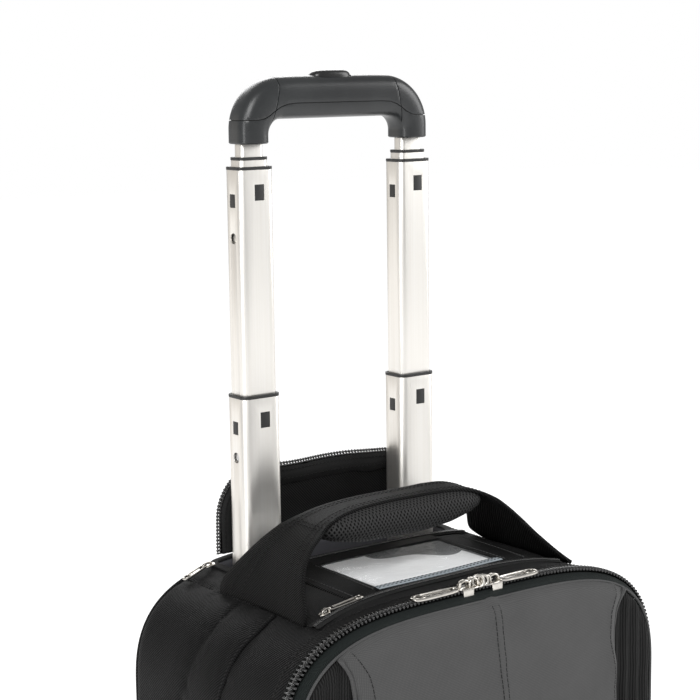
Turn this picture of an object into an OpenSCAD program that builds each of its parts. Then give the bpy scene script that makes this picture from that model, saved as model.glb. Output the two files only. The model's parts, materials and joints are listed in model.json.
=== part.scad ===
// Rolling laptop case: a soft-sided case on two wheels with a four-stage pull handle.
// +X is to the right, +Y towards the back and +Z up. The origin is on the floor, under the middle.

/* [Case] */
// Width across the sides
case_w = 344; // [336:2:360]
// Height of the crown of the top above the floor
case_top = 408; // [402:1:414]
// Height at which the sides begin to round over into the top
shoulder_z = 320; // [310:2:330]
// Distance from the middle to the outside of the back panel
back_y = 115; // [113:1:118]
// Distance from the middle to the front face of the pocket
front_y = 117; // [115:1:119]
// Thickness of the padded walls
wall = 4; // [3:0.5:5]

/* [Handle well] */
// Half width of the well that the pull handle stows in
well_x = 103; // [100:1:106]
// Front edge of the well
well_front = 53; // [50:1:56]
// Height of the well's floor
well_floor = 328; // [324:1:330]

/* [Pull handle] */
// Distance from the middle to each pole
pole_x = 75; // [73:1:77]
// How far the poles stand behind the middle
pole_y = 85; // [84:0.5:86]
// Wall of the pole tubes
tube_wall = 1; // [0.9:0.1:1.1]
// Height of the top of the widest tube when raised
tube_a_top = 536; // [530:1:540]
// Height of the top of the second tube when raised
tube_b_top = 707; // [702:1:710]
// Height of the underside of the grip's legs
grip_z = 723.6; // [722:0.2:725]

/* [Wheels and feet] */
// Radius of the tyres
wheel_r = 33; // [31:0.5:34]
// Distance from the middle to the middle of each wheel
wheel_x = 141; // [140:0.5:142]
// How far the axle stands behind the middle
wheel_y = 84; // [83:0.5:84.5]
// Height of the underside of the case
base_z = 20; // [19:0.5:22]

/* [Carry handle] */
// Half distance between the ends of the carry handle
strap_x = 130; // [126:1:132]
// Height of the top of the carry handle
strap_top = 463; // [458:1:468]

/* [Hidden] */

$fn = 32;
half_w = case_w / 2;
shell_back = back_y - 10;
shell_front = -84;
gap = 0.3;

// Rolling parts
axle_r = 3.95;
bearing_r = 11;
tyre_w = 22;
hub_w = 26;
arch_r = wheel_r + 4;
arch_w = 32;
corner_x = 110;
corner_y = 40;
corner_z = 94;

// Pull handle: outer width, depth and corner radius of each tube, from the widest to the narrowest
size_channel = [38, 29, 7];
size_a = [34, 25, 6];
size_b = [30.5, 21.5, 5];
size_c = [25, 16, 4];
size_d = [20, 11.5, 3.5];
a_bottom = 288;
b_bottom = 474;
c_bottom = 501;
d_bottom = 525;
c_top = tube_b_top + 7;
d_top = grip_z + 15;
rim_h = 2.3;
bush_h = 30;
flange_h = 4;
pin_up = 14;
pin_r = 3.6;
lock_r = 4;
clip_w = 8.4;
clip_h = 12;
clip_down = 16.8;

// Grip
grip_half = 88;
grip_depth = 28;
grip_top = 772;
grip_corner = 38;
leg_in = 62;
under_z = 741;
button_travel = 4;
button_top = 777;
bar_z = 749;
bar_h = 5;

// Front lid and its pocket
zip_y = 86.3;
lid_back = zip_y + 0.2;
lid_hinge_z = 46;
pocket_half = 121;
skin = 3;

// Height of a rounded arch over the middle: its foot, rise, half width and the two powers of its curve
function arch_z(x, half, foot, rise, n, m) = foot + rise * pow(max(0, 1 - pow(abs(x) / half, n)), m);

// Points along such an arch from left to right, closer together towards its ends
function arch_points(half, foot, rise, n, m, steps) = [
    for (i = [-steps : steps])
        let (x = half * sin(90 * i / steps)) [x, arch_z(x, half, foot, rise, n, m)]];

// The case's outline from the front, with its rounded shoulders, set in by a margin
module case_outline(inset = 0, foot = base_z, steps = 11) {
    polygon(concat([[half_w - inset, foot + inset], [-half_w + inset, foot + inset]],
        arch_points(half_w - inset, shoulder_z, case_top - shoulder_z - inset, 4, 0.387, steps)));
}

// Turns a front outline into a solid between two distances from the middle
module between_y(y0, y1) {
    translate([0, y1, 0]) rotate([90, 0, 0]) linear_extrude(height = y1 - y0) children();
}

// Turns a side outline, drawn as Y and Z, into a solid between two distances across
module between_x(x0, x1) {
    translate([x0, 0, 0]) rotate([90, 0, 90]) linear_extrude(height = x1 - x0) children();
}

module block(low, high) {
    translate(low) cube(high - low);
}

// Rounded rectangle made of plain rectangles and circles, so that its corners stay true arcs
module rounded(w, d, r) {
    square([w - 2 * r, d], center = true);
    square([w, d - 2 * r], center = true);
    for (sx = [-1, 1], sy = [-1, 1])
        translate([sx * (w / 2 - r), sy * (d / 2 - r)]) circle(r);
}

module pole(side) {
    translate([side * pole_x, pole_y, 0]) children();
}

module poles() {
    for (side = [-1, 1]) pole(side) children();
}

module both_sides() {
    for ($side = [1, -1]) mirror([$side < 0 ? 1 : 0, 0, 0]) children();
}

// Plan of the case, with rounded corners at the back
module plan_limit() {
    corner = 20;
    translate([0, 0, -1]) linear_extrude(height = case_top + 20) {
        translate([-half_w - 1, -front_y - 5]) square([case_w + 2, front_y + 5 + back_y - corner]);
        translate([-half_w + corner, -5]) square([case_w - 2 * corner, back_y + 5]);
        for (side = [-1, 1]) translate([side * (half_w - corner), back_y - corner]) circle(corner);
    }
}

// Space taken by the wheel housings in the two lower corners at the back
module wheel_corners() {
    both_sides() block([corner_x, corner_y, -1], [half_w + 5, back_y + 5, corner_z]);
}

// Plan of the well: square at the back, with rounded corners at the front
module well_plan(inset = 0) {
    r = 20;
    translate([-well_x + r, well_front + inset]) square([2 * (well_x - r), shell_back - well_front - 2 * inset]);
    translate([-well_x + inset, well_front + r]) square([2 * (well_x - inset), shell_back - well_front - r - inset]);
    for (side = [-1, 1]) translate([side * (well_x - r), well_front + r]) circle(r - inset);
}

// Thin band on the case's top surface, between two heights above it
module on_top(x0, x1, y0, y1, lift, thick) {
    intersection() {
        between_y(y0, y1) difference() {
            case_outline(-lift - thick);
            case_outline(-lift);
        }
        block([x0, y0, case_top - 30], [x1, y1, case_top + 10]);
    }
}

// ---- Soft case ----

module side_and_top_panel() color([0.07, 0.07, 0.075]) {
    intersection() {
        difference() {
            between_y(shell_front, shell_back) difference() {
                case_outline();
                case_outline(wall, base_z - 2 * wall);
            }
            block([-half_w, -90, 0], [half_w, back_y, base_z + wall]);
            wheel_corners();
            translate([0, 0, well_floor]) linear_extrude(height = 100) well_plan();
        }
        plan_limit();
    }
}

module back_panel() color([0.07, 0.07, 0.075]) {
    intersection() {
        difference() {
            between_y(shell_back, back_y) case_outline();
            wheel_corners();
        }
        plan_limit();
    }
}

// Floor of the case with the padded bar across the front, under the lid
module bottom_panel() color([0.07, 0.07, 0.075]) {
    difference() {
        union() {
            block([-half_w + 2, -front_y + 2, base_z], [half_w - 2, shell_back, base_z + wall]);
            block([-half_w + 2, -front_y + 2, base_z + wall], [half_w - 2, -86, lid_hinge_z - 2]);
        }
        wheel_corners();
    }
}

// Padded pocket for a laptop, in front of the poles
module laptop_sleeve() color([0.3, 0.32, 0.34]) {
    floor_z = base_z + wall + 2;
    difference() {
        union() {
            block([-150, 40, floor_z], [150, 45, 300]);
            block([-150, 45, floor_z], [150, 66, floor_z + 5]);
            block([-150, 66, floor_z], [150, 69, 300]);
        }
        wheel_corners();
    }
}

module sleeve_strap() color([0.06, 0.06, 0.06]) {
    block([-20, 38, 300], [20, 69, 302]);
    block([-20, 38, 250], [20, 40, 300]);
}

module well_liner() color([0.33, 0.35, 0.37]) {
    thin = 1.5;
    difference() {
        translate([0, 0, well_floor]) linear_extrude(height = case_top - well_floor - 8) well_plan(gap);
        translate([0, 0, well_floor + 2]) linear_extrude(height = 90) well_plan(gap + thin);
        poles() translate([0, 0, well_floor - 1]) linear_extrude(height = 4)
            rounded(size_a[0] + 2, size_a[1] + 2, size_a[2] + 1);
    }
}

module back_board() color([0.12, 0.12, 0.13]) {
    board_y = pole_y + size_channel[1] / 2;
    difference() {
        block([-150, board_y, base_z + wall], [150, board_y + 2.5, well_floor - 2]);
        wheel_corners();
        rivet_places() cylinder(r = 2.1, h = 12, center = true);
    }
}

// ---- Base, feet and wheels ----

module base_tray() color([0.09, 0.09, 0.095]) {
    difference() {
        block([-half_w + 6, -front_y + 4, base_z - 5], [half_w - 6, back_y - 4, base_z]);
        wheel_corners();
    }
}

module front_feet() color([0.05, 0.05, 0.05]) {
    both_sides() translate([112, -88, 0]) linear_extrude(height = base_z - 5) rounded(56, 22, 8);
}

// Side outline of a wheel housing: it wraps the wheel and leaves it standing proud
module housing_side() {
    difference() {
        translate([corner_y + 1, base_z - 4]) square([back_y - corner_y - 1, corner_z - 2 - base_z + 4]);
        translate([wheel_y, 0]) square([60, wheel_r]);
    }
    translate([wheel_y, wheel_r]) circle(wheel_r - 6, $fn = 64);
}

module wheel_housing() color([0.1, 0.1, 0.105]) {
    outer_x = half_w - 2;
    difference() {
        intersection() {
            between_x(corner_x + 1, outer_x) housing_side();
            plan_limit();
        }
        translate([wheel_x, wheel_y, wheel_r]) rotate([0, 90, 0]) {
            cylinder(r = arch_r, h = arch_w, center = true, $fn = 64);
            cylinder(r = 4, h = 200, center = true);
            translate([0, 0, outer_x - wheel_x - 4.5]) cylinder(r = 8, h = 10);
        }
        block([wheel_x - arch_w / 2, wheel_y - arch_r, -1], [wheel_x + arch_w / 2, 130, wheel_r]);
        block([wheel_x - arch_w / 2, wheel_y, -1], [wheel_x + arch_w / 2, 130, wheel_r + 28]);
    }
}

module wheel_housing_left() mirror([1, 0, 0]) wheel_housing();
module wheel_housing_right() wheel_housing();

// Bolt through the housing, with its nut inside the case
module axle() color([0.65, 0.66, 0.68]) {
    translate([0, wheel_y, wheel_r]) rotate([0, 90, 0]) {
        translate([0, 0, corner_x - 6]) cylinder(r = axle_r, h = half_w - 3 - corner_x + 6);
        translate([0, 0, half_w - 6]) cylinder(r = 7, h = 3.5);
        translate([0, 0, corner_x - 5.5]) difference() {
            cylinder(r = 7, h = 6, $fn = 6);
            cylinder(r = axle_r, h = 20, center = true);
        }
    }
}

module axle_bolts() both_sides() axle();

module at_wheel() {
    translate([wheel_x, wheel_y, wheel_r]) rotate([0, 90, 0]) children();
}

// Tyre with a rounded tread on a flat band
module tyre() color([0.06, 0.06, 0.06]) at_wheel() rotate_extrude($fn = 72) {
    edge = 4;
    translate([wheel_r - 9, -tyre_w / 2]) square([9 - edge, tyre_w]);
    translate([wheel_r - edge, edge - tyre_w / 2]) square([edge, tyre_w - 2 * edge]);
    for (s = [-1, 1]) translate([wheel_r - edge, s * (tyre_w / 2 - edge)]) circle(edge);
}

// Hub with a thin web pierced by five round windows
module hub() color([0.16, 0.16, 0.17]) at_wheel() difference() {
    rotate_extrude($fn = 72) {
        translate([wheel_r - 12, -tyre_w / 2]) square([3, tyre_w]);
        translate([bearing_r + 0.05, -hub_w / 2]) square([3.5, hub_w]);
        translate([bearing_r + 0.05, -3]) square([wheel_r - 10 - bearing_r, 6]);
    }
    for (i = [0 : 4]) rotate(i * 72) translate([17.7, 0, 0]) cylinder(r = 2.6, h = 20, center = true);
}

module bearings() color([0.72, 0.73, 0.75]) at_wheel() for (s = [-1, 1])
    translate([0, 0, s * (hub_w / 2 - 3.5)]) difference() {
        cylinder(r = bearing_r, h = 7, center = true);
        cylinder(r = 4, h = 9, center = true);
    }

// Two plastic rails that take the wear when the case is pulled up steps
module back_rails() color([0.09, 0.09, 0.095]) both_sides()
    translate([105, back_y + 2, 0]) rotate([90, 0, 0]) linear_extrude(height = 2) {
        translate([-6, 106]) square([12, 220]);
        for (z = [106, 326]) translate([0, z]) circle(6);
    }

// ---- Pull handle ----

module tube_walls(size, z0, z1) {
    translate([0, 0, z0]) linear_extrude(height = z1 - z0) difference() {
        rounded(size[0], size[1], size[2]);
        rounded(size[0] - 2 * tube_wall, size[1] - 2 * tube_wall, size[2] - tube_wall);
    }
}

// Windows in the front and outer side of a tube, that its collar clips into
module clip_windows(size, top, short = 0) {
    z = top - clip_down;
    deep = tube_wall + 2 * short;
    x = 1.8 * $side;
    block([x - clip_w / 2 + short, -size[1], z - clip_h / 2 + short],
        [x + clip_w / 2 - short, -size[1] / 2 + deep, z + clip_h / 2 - short]);
    for (s = [-1, 1]) mirror([s > 0 ? 0 : 1, 0, 0])
        block([size[0] / 2 - deep, short - 3.5, z - 11 + short], [size[0], 3.5 - short, z - 1 - short]);
}

module lock_hole(size, z) {
    translate([size[0] / 2, 0, z]) rotate([0, 90, 0]) cylinder(r = lock_r, h = 8, center = true);
}

// One tube of each pair; the right one is its mirror image
module pair_of_tubes(size, z0, z1, hole_z, pin_z, clips = true) color([0.83, 0.8, 0.75]) both_sides()
    pole(1) difference() {
        tube_walls(size, z0, z1);
        if (clips) clip_windows(size, z1);
        lock_hole(size, hole_z);
        lock_hole(size, pin_z);
    }

module tubes_a() pair_of_tubes(size_a, a_bottom, tube_a_top - rim_h, b_bottom + pin_up, a_bottom + pin_up);
module tubes_b() pair_of_tubes(size_b, b_bottom, tube_b_top - rim_h, tube_b_top - 53, b_bottom + pin_up);
module tubes_c() pair_of_tubes(size_c, c_bottom, c_top - rim_h, c_top - 48, c_bottom + pin_up, false);
module tubes_d() color([0.83, 0.8, 0.75]) poles() tube_walls(size_d, d_bottom, d_top);

// Plastic collar: a rim on top of the tube and a bush inside it that guides the next tube
module collars(outer, inner, top, clips = true) color([0.05, 0.05, 0.055]) both_sides() pole(1) {
    bore = [inner[0] + 2 * gap, inner[1] + 2 * gap, inner[2] + gap];
    fit = 2 * tube_wall + 0.1;
    difference() {
        union() {
            translate([0, 0, top - rim_h]) linear_extrude(height = rim_h)
                rounded(outer[0] + 0.6, outer[1] + 0.6, outer[2] + 0.3);
            translate([0, 0, top - bush_h]) linear_extrude(height = bush_h)
                rounded(outer[0] - fit, outer[1] - fit, outer[2] - tube_wall);
            if (clips) intersection() {
                clip_windows(outer, top - rim_h, 0.1);
                linear_extrude(height = top) rounded(outer[0] - 0.4, outer[1] - 0.4, outer[2] - 0.2);
            }
        }
        translate([0, 0, top - bush_h - 1]) linear_extrude(height = bush_h + 2)
            rounded(bore[0], bore[1], bore[2]);
    }
}

module collars_a() collars(size_a, size_b, tube_a_top);
module collars_b() collars(size_b, size_c, tube_b_top);
module collars_c() collars(size_c, size_d, c_top, false);

// Block that closes the bottom of a tube, guides it inside the next one and houses a lock pin
module glides(size, outer, bottom) color([0.12, 0.12, 0.12]) both_sides() pole(1) difference() {
    fit = 2 * tube_wall + 0.1;
    union() {
        translate([0, 0, bottom - flange_h]) linear_extrude(height = flange_h)
            rounded(outer[0] - 2 * tube_wall - 2 * gap, outer[1] - 2 * tube_wall - 2 * gap, outer[2] - tube_wall);
        translate([0, 0, bottom]) linear_extrude(height = 2 * pin_up - 6)
            rounded(size[0] - fit, size[1] - fit, size[2] - tube_wall);
    }
    translate([size[0] / 2, 0, bottom + pin_up]) rotate([0, 90, 0])
        cylinder(r = pin_r + 0.1, h = size[0] - 8, center = true);
}

module glides_a() glides(size_a, size_channel, a_bottom);
module glides_b() glides(size_b, size_a, b_bottom);

// Lock pin in a glide, its round head level with the outside of its tube
module lock_pin(size, bottom) color([0.62, 0.62, 0.64])
    pole(1) translate([size[0] / 2 - 7, 0, bottom + pin_up]) rotate([0, 90, 0]) cylinder(r = pin_r, h = 7.2);

module lock_pin_a_left() mirror([1, 0, 0]) lock_pin(size_a, a_bottom);
module lock_pin_a_right() lock_pin(size_a, a_bottom);
module lock_pin_b_left() mirror([1, 0, 0]) lock_pin(size_b, b_bottom);
module lock_pin_b_right() lock_pin(size_b, b_bottom);

// Fixed channels that the poles stow in, on a block at the bottom and held to the board by rivets
module pole_channels() color([0.7, 0.7, 0.7]) difference() {
    poles() tube_walls(size_channel, 62, well_floor);
    rivet_places() cylinder(r = 2.1, h = 12, center = true);
}

module channel_block() color([0.1, 0.1, 0.1]) difference() {
    block([-100, pole_y - 16, base_z + wall], [100, pole_y + size_channel[1] / 2, 62]);
    for (side = [-1, 1]) block([side * 62 - 25, pole_y - 10, base_z + wall + 6],
        [side * 62 + 25, pole_y + 10, 56]);
}

module channel_bezel() color([0.06, 0.06, 0.065]) translate([0, 0, well_floor + 2]) {
    linear_extrude(height = 4) difference() {
        translate([-98, pole_y - 17]) square([196, 33]);
        poles() rounded(size_a[0] + 1.4, size_a[1] + 1.4, size_a[2] + 0.7);
    }
}

module rivet_places() {
    for (side = [-1, 1], z = [90, 200, 310])
        translate([side * pole_x, pole_y + size_channel[1] / 2, z]) rotate([90, 0, 0]) children();
}

module board_rivets() color([0.6, 0.6, 0.62]) rivet_places() {
    translate([0, 0, -2.5]) cylinder(r = 2, h = 4);
    translate([0, 0, -4]) cylinder(r = 4, h = 1.5);
}

// ---- Grip ----

// Front outline of the whole grip: a bar on two legs
module grip_outline() {
    r = grip_corner;
    inner_r = 12;
    difference() {
        union() {
            translate([-grip_half, grip_z]) square([2 * grip_half, grip_top - r - grip_z]);
            translate([-grip_half + r, grip_z]) square([2 * (grip_half - r), grip_top - grip_z]);
            for (side = [-1, 1]) translate([side * (grip_half - r), grip_top - r]) circle(r, $fn = 96);
        }
        translate([-grip_half, grip_z - 50]) square([2 * grip_half, 50]);
        translate([-leg_in, grip_z - 1]) square([2 * leg_in, under_z - inner_r - grip_z + 1]);
        translate([-leg_in + inner_r, grip_z - 1]) square([2 * (leg_in - inner_r), under_z - grip_z + 1]);
        for (side = [-1, 1]) translate([side * (leg_in - inner_r), under_z - inner_r]) circle(inner_r);
    }
}

// Everything below the joint between the two shells: level over the legs, higher over the bar
module below_joint() {
    leg_joint = 741;
    bar_joint = 751;
    polygon([[-100, 700], [100, 700], [100, leg_joint], [70, leg_joint], [57, bar_joint],
        [-57, bar_joint], [-70, leg_joint], [-100, leg_joint]]);
}

// Room inside the grip for the release bar, the rods, the tubes' ends and the button
module grip_hollow() {
    move = button_travel + 1;
    block([-78, pole_y - 9, bar_z - move], [78, pole_y + 9, bar_z + bar_h + 3]);
    poles() {
        translate([0, 0, grip_z - 1]) linear_extrude(height = d_top - grip_z + 1)
            rounded(size_d[0] + 0.1, size_d[1] + 0.1, size_d[2] + 0.05);
        translate([0, 0, grip_z]) cylinder(r = 3, h = bar_z - grip_z);
    }
    translate([0, pole_y, bar_z + bar_h]) linear_extrude(height = 40) button_plan(0.4);
}

module button_plan(grow = 0) {
    half = 10;
    r = 8 + grow;
    square([2 * half, 2 * r], center = true);
    for (side = [-1, 1]) translate([side * half, 0]) circle(r);
}

module grip_lower_shell() color([0.1, 0.1, 0.105]) difference() {
    between_y(pole_y - grip_depth / 2, pole_y + grip_depth / 2) intersection() {
        grip_outline();
        below_joint();
    }
    grip_hollow();
}

module grip_upper_shell() color([0.11, 0.11, 0.115]) difference() {
    between_y(pole_y - grip_depth / 2, pole_y + grip_depth / 2) difference() {
        grip_outline();
        below_joint();
    }
    grip_hollow();
}

module push_button() color([0.05, 0.05, 0.055]) translate([0, pole_y, bar_z + bar_h])
    linear_extrude(height = button_top - bar_z - bar_h) button_plan();

// Bar under the button, with a rod down each pole
module release_rods() color([0.6, 0.6, 0.6]) {
    block([-77.5, pole_y - 5, bar_z], [77.5, pole_y + 5, bar_z + bar_h]);
    poles() translate([0, 0, d_bottom + 30]) cylinder(r = 2.5, h = bar_z - d_bottom - 30);
}

module button_spring() color([0.7, 0.7, 0.7]) translate([0, pole_y, bar_z - button_travel - 1]) difference() {
    cylinder(r = 4, h = button_travel + 1);
    cylinder(r = 3, h = 20, center = true);
}

// ---- Zips, window and carry handle ----

module outline_band(y0, y1, depth) {
    difference() {
        between_y(y0, y1) difference() {
            case_outline();
            case_outline(depth, base_z - 2 * depth);
        }
        block([-half_w - 1, -front_y - 9, 0], [half_w + 1, back_y, lid_hinge_z + 4]);
    }
}

module case_zip() color([0.2, 0.21, 0.2]) outline_band(-zip_y, shell_front, 3);
module lid_zip() color([0.2, 0.21, 0.2]) outline_band(-zip_y - 2.3, -zip_y - 0.2, 3);

module window() color([0.8, 0.83, 0.86]) on_top(-53, 62, -38, 33, 0.3, 0.6);

module window_trim() color([0.12, 0.12, 0.125]) {
    for (span = [[-80, -54], [63, 90]]) on_top(span[0], span[1], -42, 50, 0.1, 1.2);
    on_top(-54, 63, 34, 50, 0.1, 1.2);
}

module window_zip() color([0.1, 0.1, 0.1]) on_top(-116, 100, -56, -49, 0.1, 1.3);
module well_zip() color([0.1, 0.1, 0.1]) on_top(-100, 100, 50.5, 52.5, 0.1, 1.3);

// Front outline of the webbing strap, between its top and a surface below it
module strap_outline(thick) {
    foot = 399;
    rise = strap_top - foot;
    difference() {
        polygon(arch_points(strap_x, foot, rise, 3.8, 0.6, 14));
        polygon(concat([[strap_x - thick, foot - 1], [thick - strap_x, foot - 1]],
            arch_points(strap_x - thick, foot, rise - thick, 3.8, 0.6, 14)));
    }
}

// Webbing strap that widens into a foot at each end
module carry_strap() color([0.09, 0.09, 0.09]) intersection() {
    between_y(-54, 58) strap_outline(4);
    between_x(-140, 140) polygon([[-51.5, 399], [-51.5, 403], [-37, 424], [-28, 438], [-22, 450],
        [-22, 470], [26, 470], [26, 450], [32, 438], [41, 424], [55.5, 403], [55.5, 399]]);
}

// Padded grip under the strap
module carry_pad() color([0.05, 0.05, 0.05]) between_y(-21, 25) difference() {
    intersection() {
        polygon(concat([[strap_x - 4, 399], [4 - strap_x, 399]],
            arch_points(strap_x - 4, 399, strap_top - 403, 3.8, 0.6, 14)));
        translate([-86, 430]) square([172, 40]);
    }
    translate([-100, 400]) square([200, 42]);
}

// Pull tab that lies flat, pointing along +X from its hinge, with an oval hole near its end
module pull_tab(long, wide, thick = 2) color([0.75, 0.75, 0.76]) difference() {
    union() {
        translate([2, -wide / 2, 0]) cube([long - wide / 2 - 2, wide, thick]);
        translate([long - wide / 2, 0, 0]) cylinder(r = wide / 2, h = thick);
        translate([2, wide / 2, thick / 2]) rotate([90, 0, 0]) cylinder(r = thick / 2, h = wide);
    }
    translate([long - wide / 2, 0, -1]) cylinder(r = wide / 4, h = thick + 2);
    translate([long - wide, -wide / 4, -1]) cube([wide / 2, wide / 2, thick + 2]);
    translate([long - wide, 0, -1]) cylinder(r = wide / 4, h = thick + 2);
}

module slider_body(long, wide, high) color([0.75, 0.75, 0.76]) {
    translate([-long / 2, -wide / 2, 0]) cube([long, wide, 2]);
    translate([-long / 2 + 2, -1.5, 2]) cube([long - 4, 3, high - 2]);
}

main_slider_z = 409.6;
main_slider_half = 10;

module main_sliders() {
    for (x = [-9.5, 11.5]) translate([x, -zip_y, main_slider_z]) slider_body(2 * main_slider_half, 11, 8);
}

module main_pull_left() translate([-19.5, -zip_y, main_slider_z + 0.5]) mirror([1, 0, 0]) pull_tab(42, 12);
module main_pull_right() translate([21.5, -zip_y, main_slider_z + 0.5]) pull_tab(37, 12);

// Small sliders of the top zip and of the flap's zip, each on the slope of the shoulder
module on_left_shoulder(x, y, tilt) {
    translate([x, y, arch_z(x, half_w, shoulder_z, case_top - shoulder_z, 4, 0.387) + 2.2])
        rotate([0, -tilt, 0]) children();
}

module small_sliders() {
    on_left_shoulder(-112, -53, 13) slider_body(9, 7, 4);
    on_left_shoulder(-108, 100, 15) slider_body(9, 7, 4);
}

module window_pull() on_left_shoulder(-107, -53, 8) pull_tab(30, 7, 1.6);
module well_pull() on_left_shoulder(-113, 100, 21) mirror([1, 0, 0]) pull_tab(21, 7, 1.6);

// ---- Front lid and its pocket ----

// Side outline of the pocket's front, falling away from the top seam, set in by a margin
module pocket_side(inset = 0) {
    polygon([[-96.9, lid_hinge_z + inset], [-96.9, 402 - inset], [-100 + inset / 2, 401 - inset],
        [-104.5 + inset, 396.5 - inset], [-107 + inset, 384], [-front_y + 1 + inset, 341],
        [-front_y + inset, 330], [-front_y + inset, 60], [-front_y + 3 + inset, lid_hinge_z + inset]]);
}

// Front outline of the pocket: straight sides that flare out to the seam at the shoulders
module pocket_outline(grow = 0) {
    flare = [[0, 358], [4, 373], [12, 389], [18, 399]];
    right = [for (p = flare) [pocket_half + grow + p[0], p[1]]];
    left = [for (i = [len(flare) - 1 : -1 : 0]) [-right[i][0], right[i][1]]];
    polygon(concat([[-pocket_half - grow, 0], [pocket_half + grow, 0]], right, [[0, 420]], left));
}

module lid_panel() color([0.1, 0.1, 0.105]) difference() {
    union() {
        between_y(-97, -93.5) case_outline(4);
        between_y(-97, -lid_back - 2.1) difference() {
            case_outline(3);
            case_outline(7);
        }
    }
    block([-half_w, -front_y, 0], [half_w, -80, lid_hinge_z]);
}

module pocket_panel() color([0.14, 0.14, 0.145]) intersection() {
    between_x(-half_w, half_w) difference() {
        pocket_side();
        pocket_side(skin);
        translate([-97.4, 0]) square([2, 399]);
    }
    between_y(-front_y - 1, -97) intersection() {
        case_outline(6);
        pocket_outline();
    }
}

// Ribbed gussets each side of the pocket that let it swell
module pocket_bellows() color([0.09, 0.09, 0.095]) difference() {
    between_y(-101.5, -97) difference() {
        case_outline(8);
        pocket_outline(1);
    }
    block([-half_w, -front_y, 0], [half_w, -80, lid_hinge_z]);
}

// ---- Flap over the well ----

flap_z = 410;
flap_top = 475;

module flap_outline(inset = 0) {
    r = 33;
    half = 100;
    translate([-half + inset, flap_z]) square([2 * (half - inset), flap_top - r - flap_z]);
    translate([-half + r, flap_z]) square([2 * (half - r), flap_top - flap_z - inset]);
    for (side = [-1, 1]) translate([side * (half - r), flap_top - r]) circle(r - inset, $fn = 48);
}

module flap_panel() color([0.06, 0.06, 0.065]) between_y(103, 105.8) flap_outline(3.2);

module flap_zip() color([0.05, 0.05, 0.05]) between_y(102.6, 106.2) difference() {
    flap_outline();
    flap_outline(3.1);
    translate([-110, 0]) square([220, flap_z + 4]);
}

module tyre_left() mirror([1, 0, 0]) tyre();
module hub_left() mirror([1, 0, 0]) hub();
module bearings_left() mirror([1, 0, 0]) bearings();
module tyre_right() tyre();
module hub_right() hub();
module bearings_right() bearings();

side_and_top_panel();
back_panel();
bottom_panel();
base_tray();
back_board();
well_liner();
pole_channels();
channel_block();
channel_bezel();
board_rivets();
wheel_housing_left();
wheel_housing_right();
axle_bolts();
front_feet();
back_rails();
laptop_sleeve();
sleeve_strap();
window();
window_trim();
window_zip();
well_zip();
case_zip();
carry_strap();
carry_pad();
small_sliders();
window_pull();
well_pull();
lid_panel();
lid_zip();
pocket_panel();
pocket_bellows();
main_sliders();
main_pull_left();
main_pull_right();
flap_panel();
flap_zip();
tubes_a();
collars_a();
glides_a();
lock_pin_a_left();
lock_pin_a_right();
tubes_b();
collars_b();
glides_b();
lock_pin_b_left();
lock_pin_b_right();
tubes_c();
collars_c();
tubes_d();
grip_lower_shell();
grip_upper_shell();
push_button();
release_rods();
button_spring();
tyre_left();
hub_left();
bearings_left();
tyre_right();
hub_right();
bearings_right();
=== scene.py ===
"""Looks of the rolling laptop case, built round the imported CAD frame. All sizes are in metres."""
import json
import math

import bpy
import bmesh
from mathutils import Matrix, Vector, noise
from mathutils.bvhtree import BVHTree
from mathutils.kdtree import KDTree


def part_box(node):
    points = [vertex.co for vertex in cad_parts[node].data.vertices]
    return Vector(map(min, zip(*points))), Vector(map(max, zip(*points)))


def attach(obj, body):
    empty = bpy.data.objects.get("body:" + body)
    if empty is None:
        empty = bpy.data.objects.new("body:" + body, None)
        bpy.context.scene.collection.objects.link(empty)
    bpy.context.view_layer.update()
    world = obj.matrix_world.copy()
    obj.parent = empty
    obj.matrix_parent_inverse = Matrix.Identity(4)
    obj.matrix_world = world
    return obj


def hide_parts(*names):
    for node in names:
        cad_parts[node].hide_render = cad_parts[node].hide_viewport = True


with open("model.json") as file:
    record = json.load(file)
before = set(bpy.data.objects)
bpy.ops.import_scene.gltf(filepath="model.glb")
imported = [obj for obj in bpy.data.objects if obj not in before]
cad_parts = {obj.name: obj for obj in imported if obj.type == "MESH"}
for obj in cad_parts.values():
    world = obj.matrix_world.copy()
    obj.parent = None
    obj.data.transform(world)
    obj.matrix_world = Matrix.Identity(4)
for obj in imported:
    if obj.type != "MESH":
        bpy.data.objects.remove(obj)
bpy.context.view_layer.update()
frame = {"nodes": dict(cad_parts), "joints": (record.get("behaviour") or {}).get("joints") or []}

NODES = frame["nodes"]
MM = 0.001
scene = bpy.context.scene
scene.view_settings.view_transform = "Standard"

# ---- Where things are, from the frame ----

SHELL_LOW, SHELL_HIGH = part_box("side_and_top_panel")
HALF_W = SHELL_HIGH.x
TOP_Z = SHELL_HIGH.z
BASE_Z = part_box("bottom_panel")[0].z
FRONT_RIM = SHELL_LOW.y
BACK_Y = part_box("back_panel")[1].y
FRONT_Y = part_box("pocket_panel")[0].y
LID_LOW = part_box("lid_panel")[0].z
SHOULDER_Z = TOP_Z - 88 * MM
POLE_X = (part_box("tubes_b")[1].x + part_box("collars_b")[1].x) / 2 - 15.4 * MM
POLE_Y = sum(v.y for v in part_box("tubes_b")) / 2
WELL_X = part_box("well_liner")[1].x
WELL_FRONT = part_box("well_liner")[0].y
WELL_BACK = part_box("well_liner")[1].y
WELL_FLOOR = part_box("well_liner")[0].z
ZIP_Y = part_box("case_zip")[0].y


# ---- Camera, light and floor ----


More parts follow.
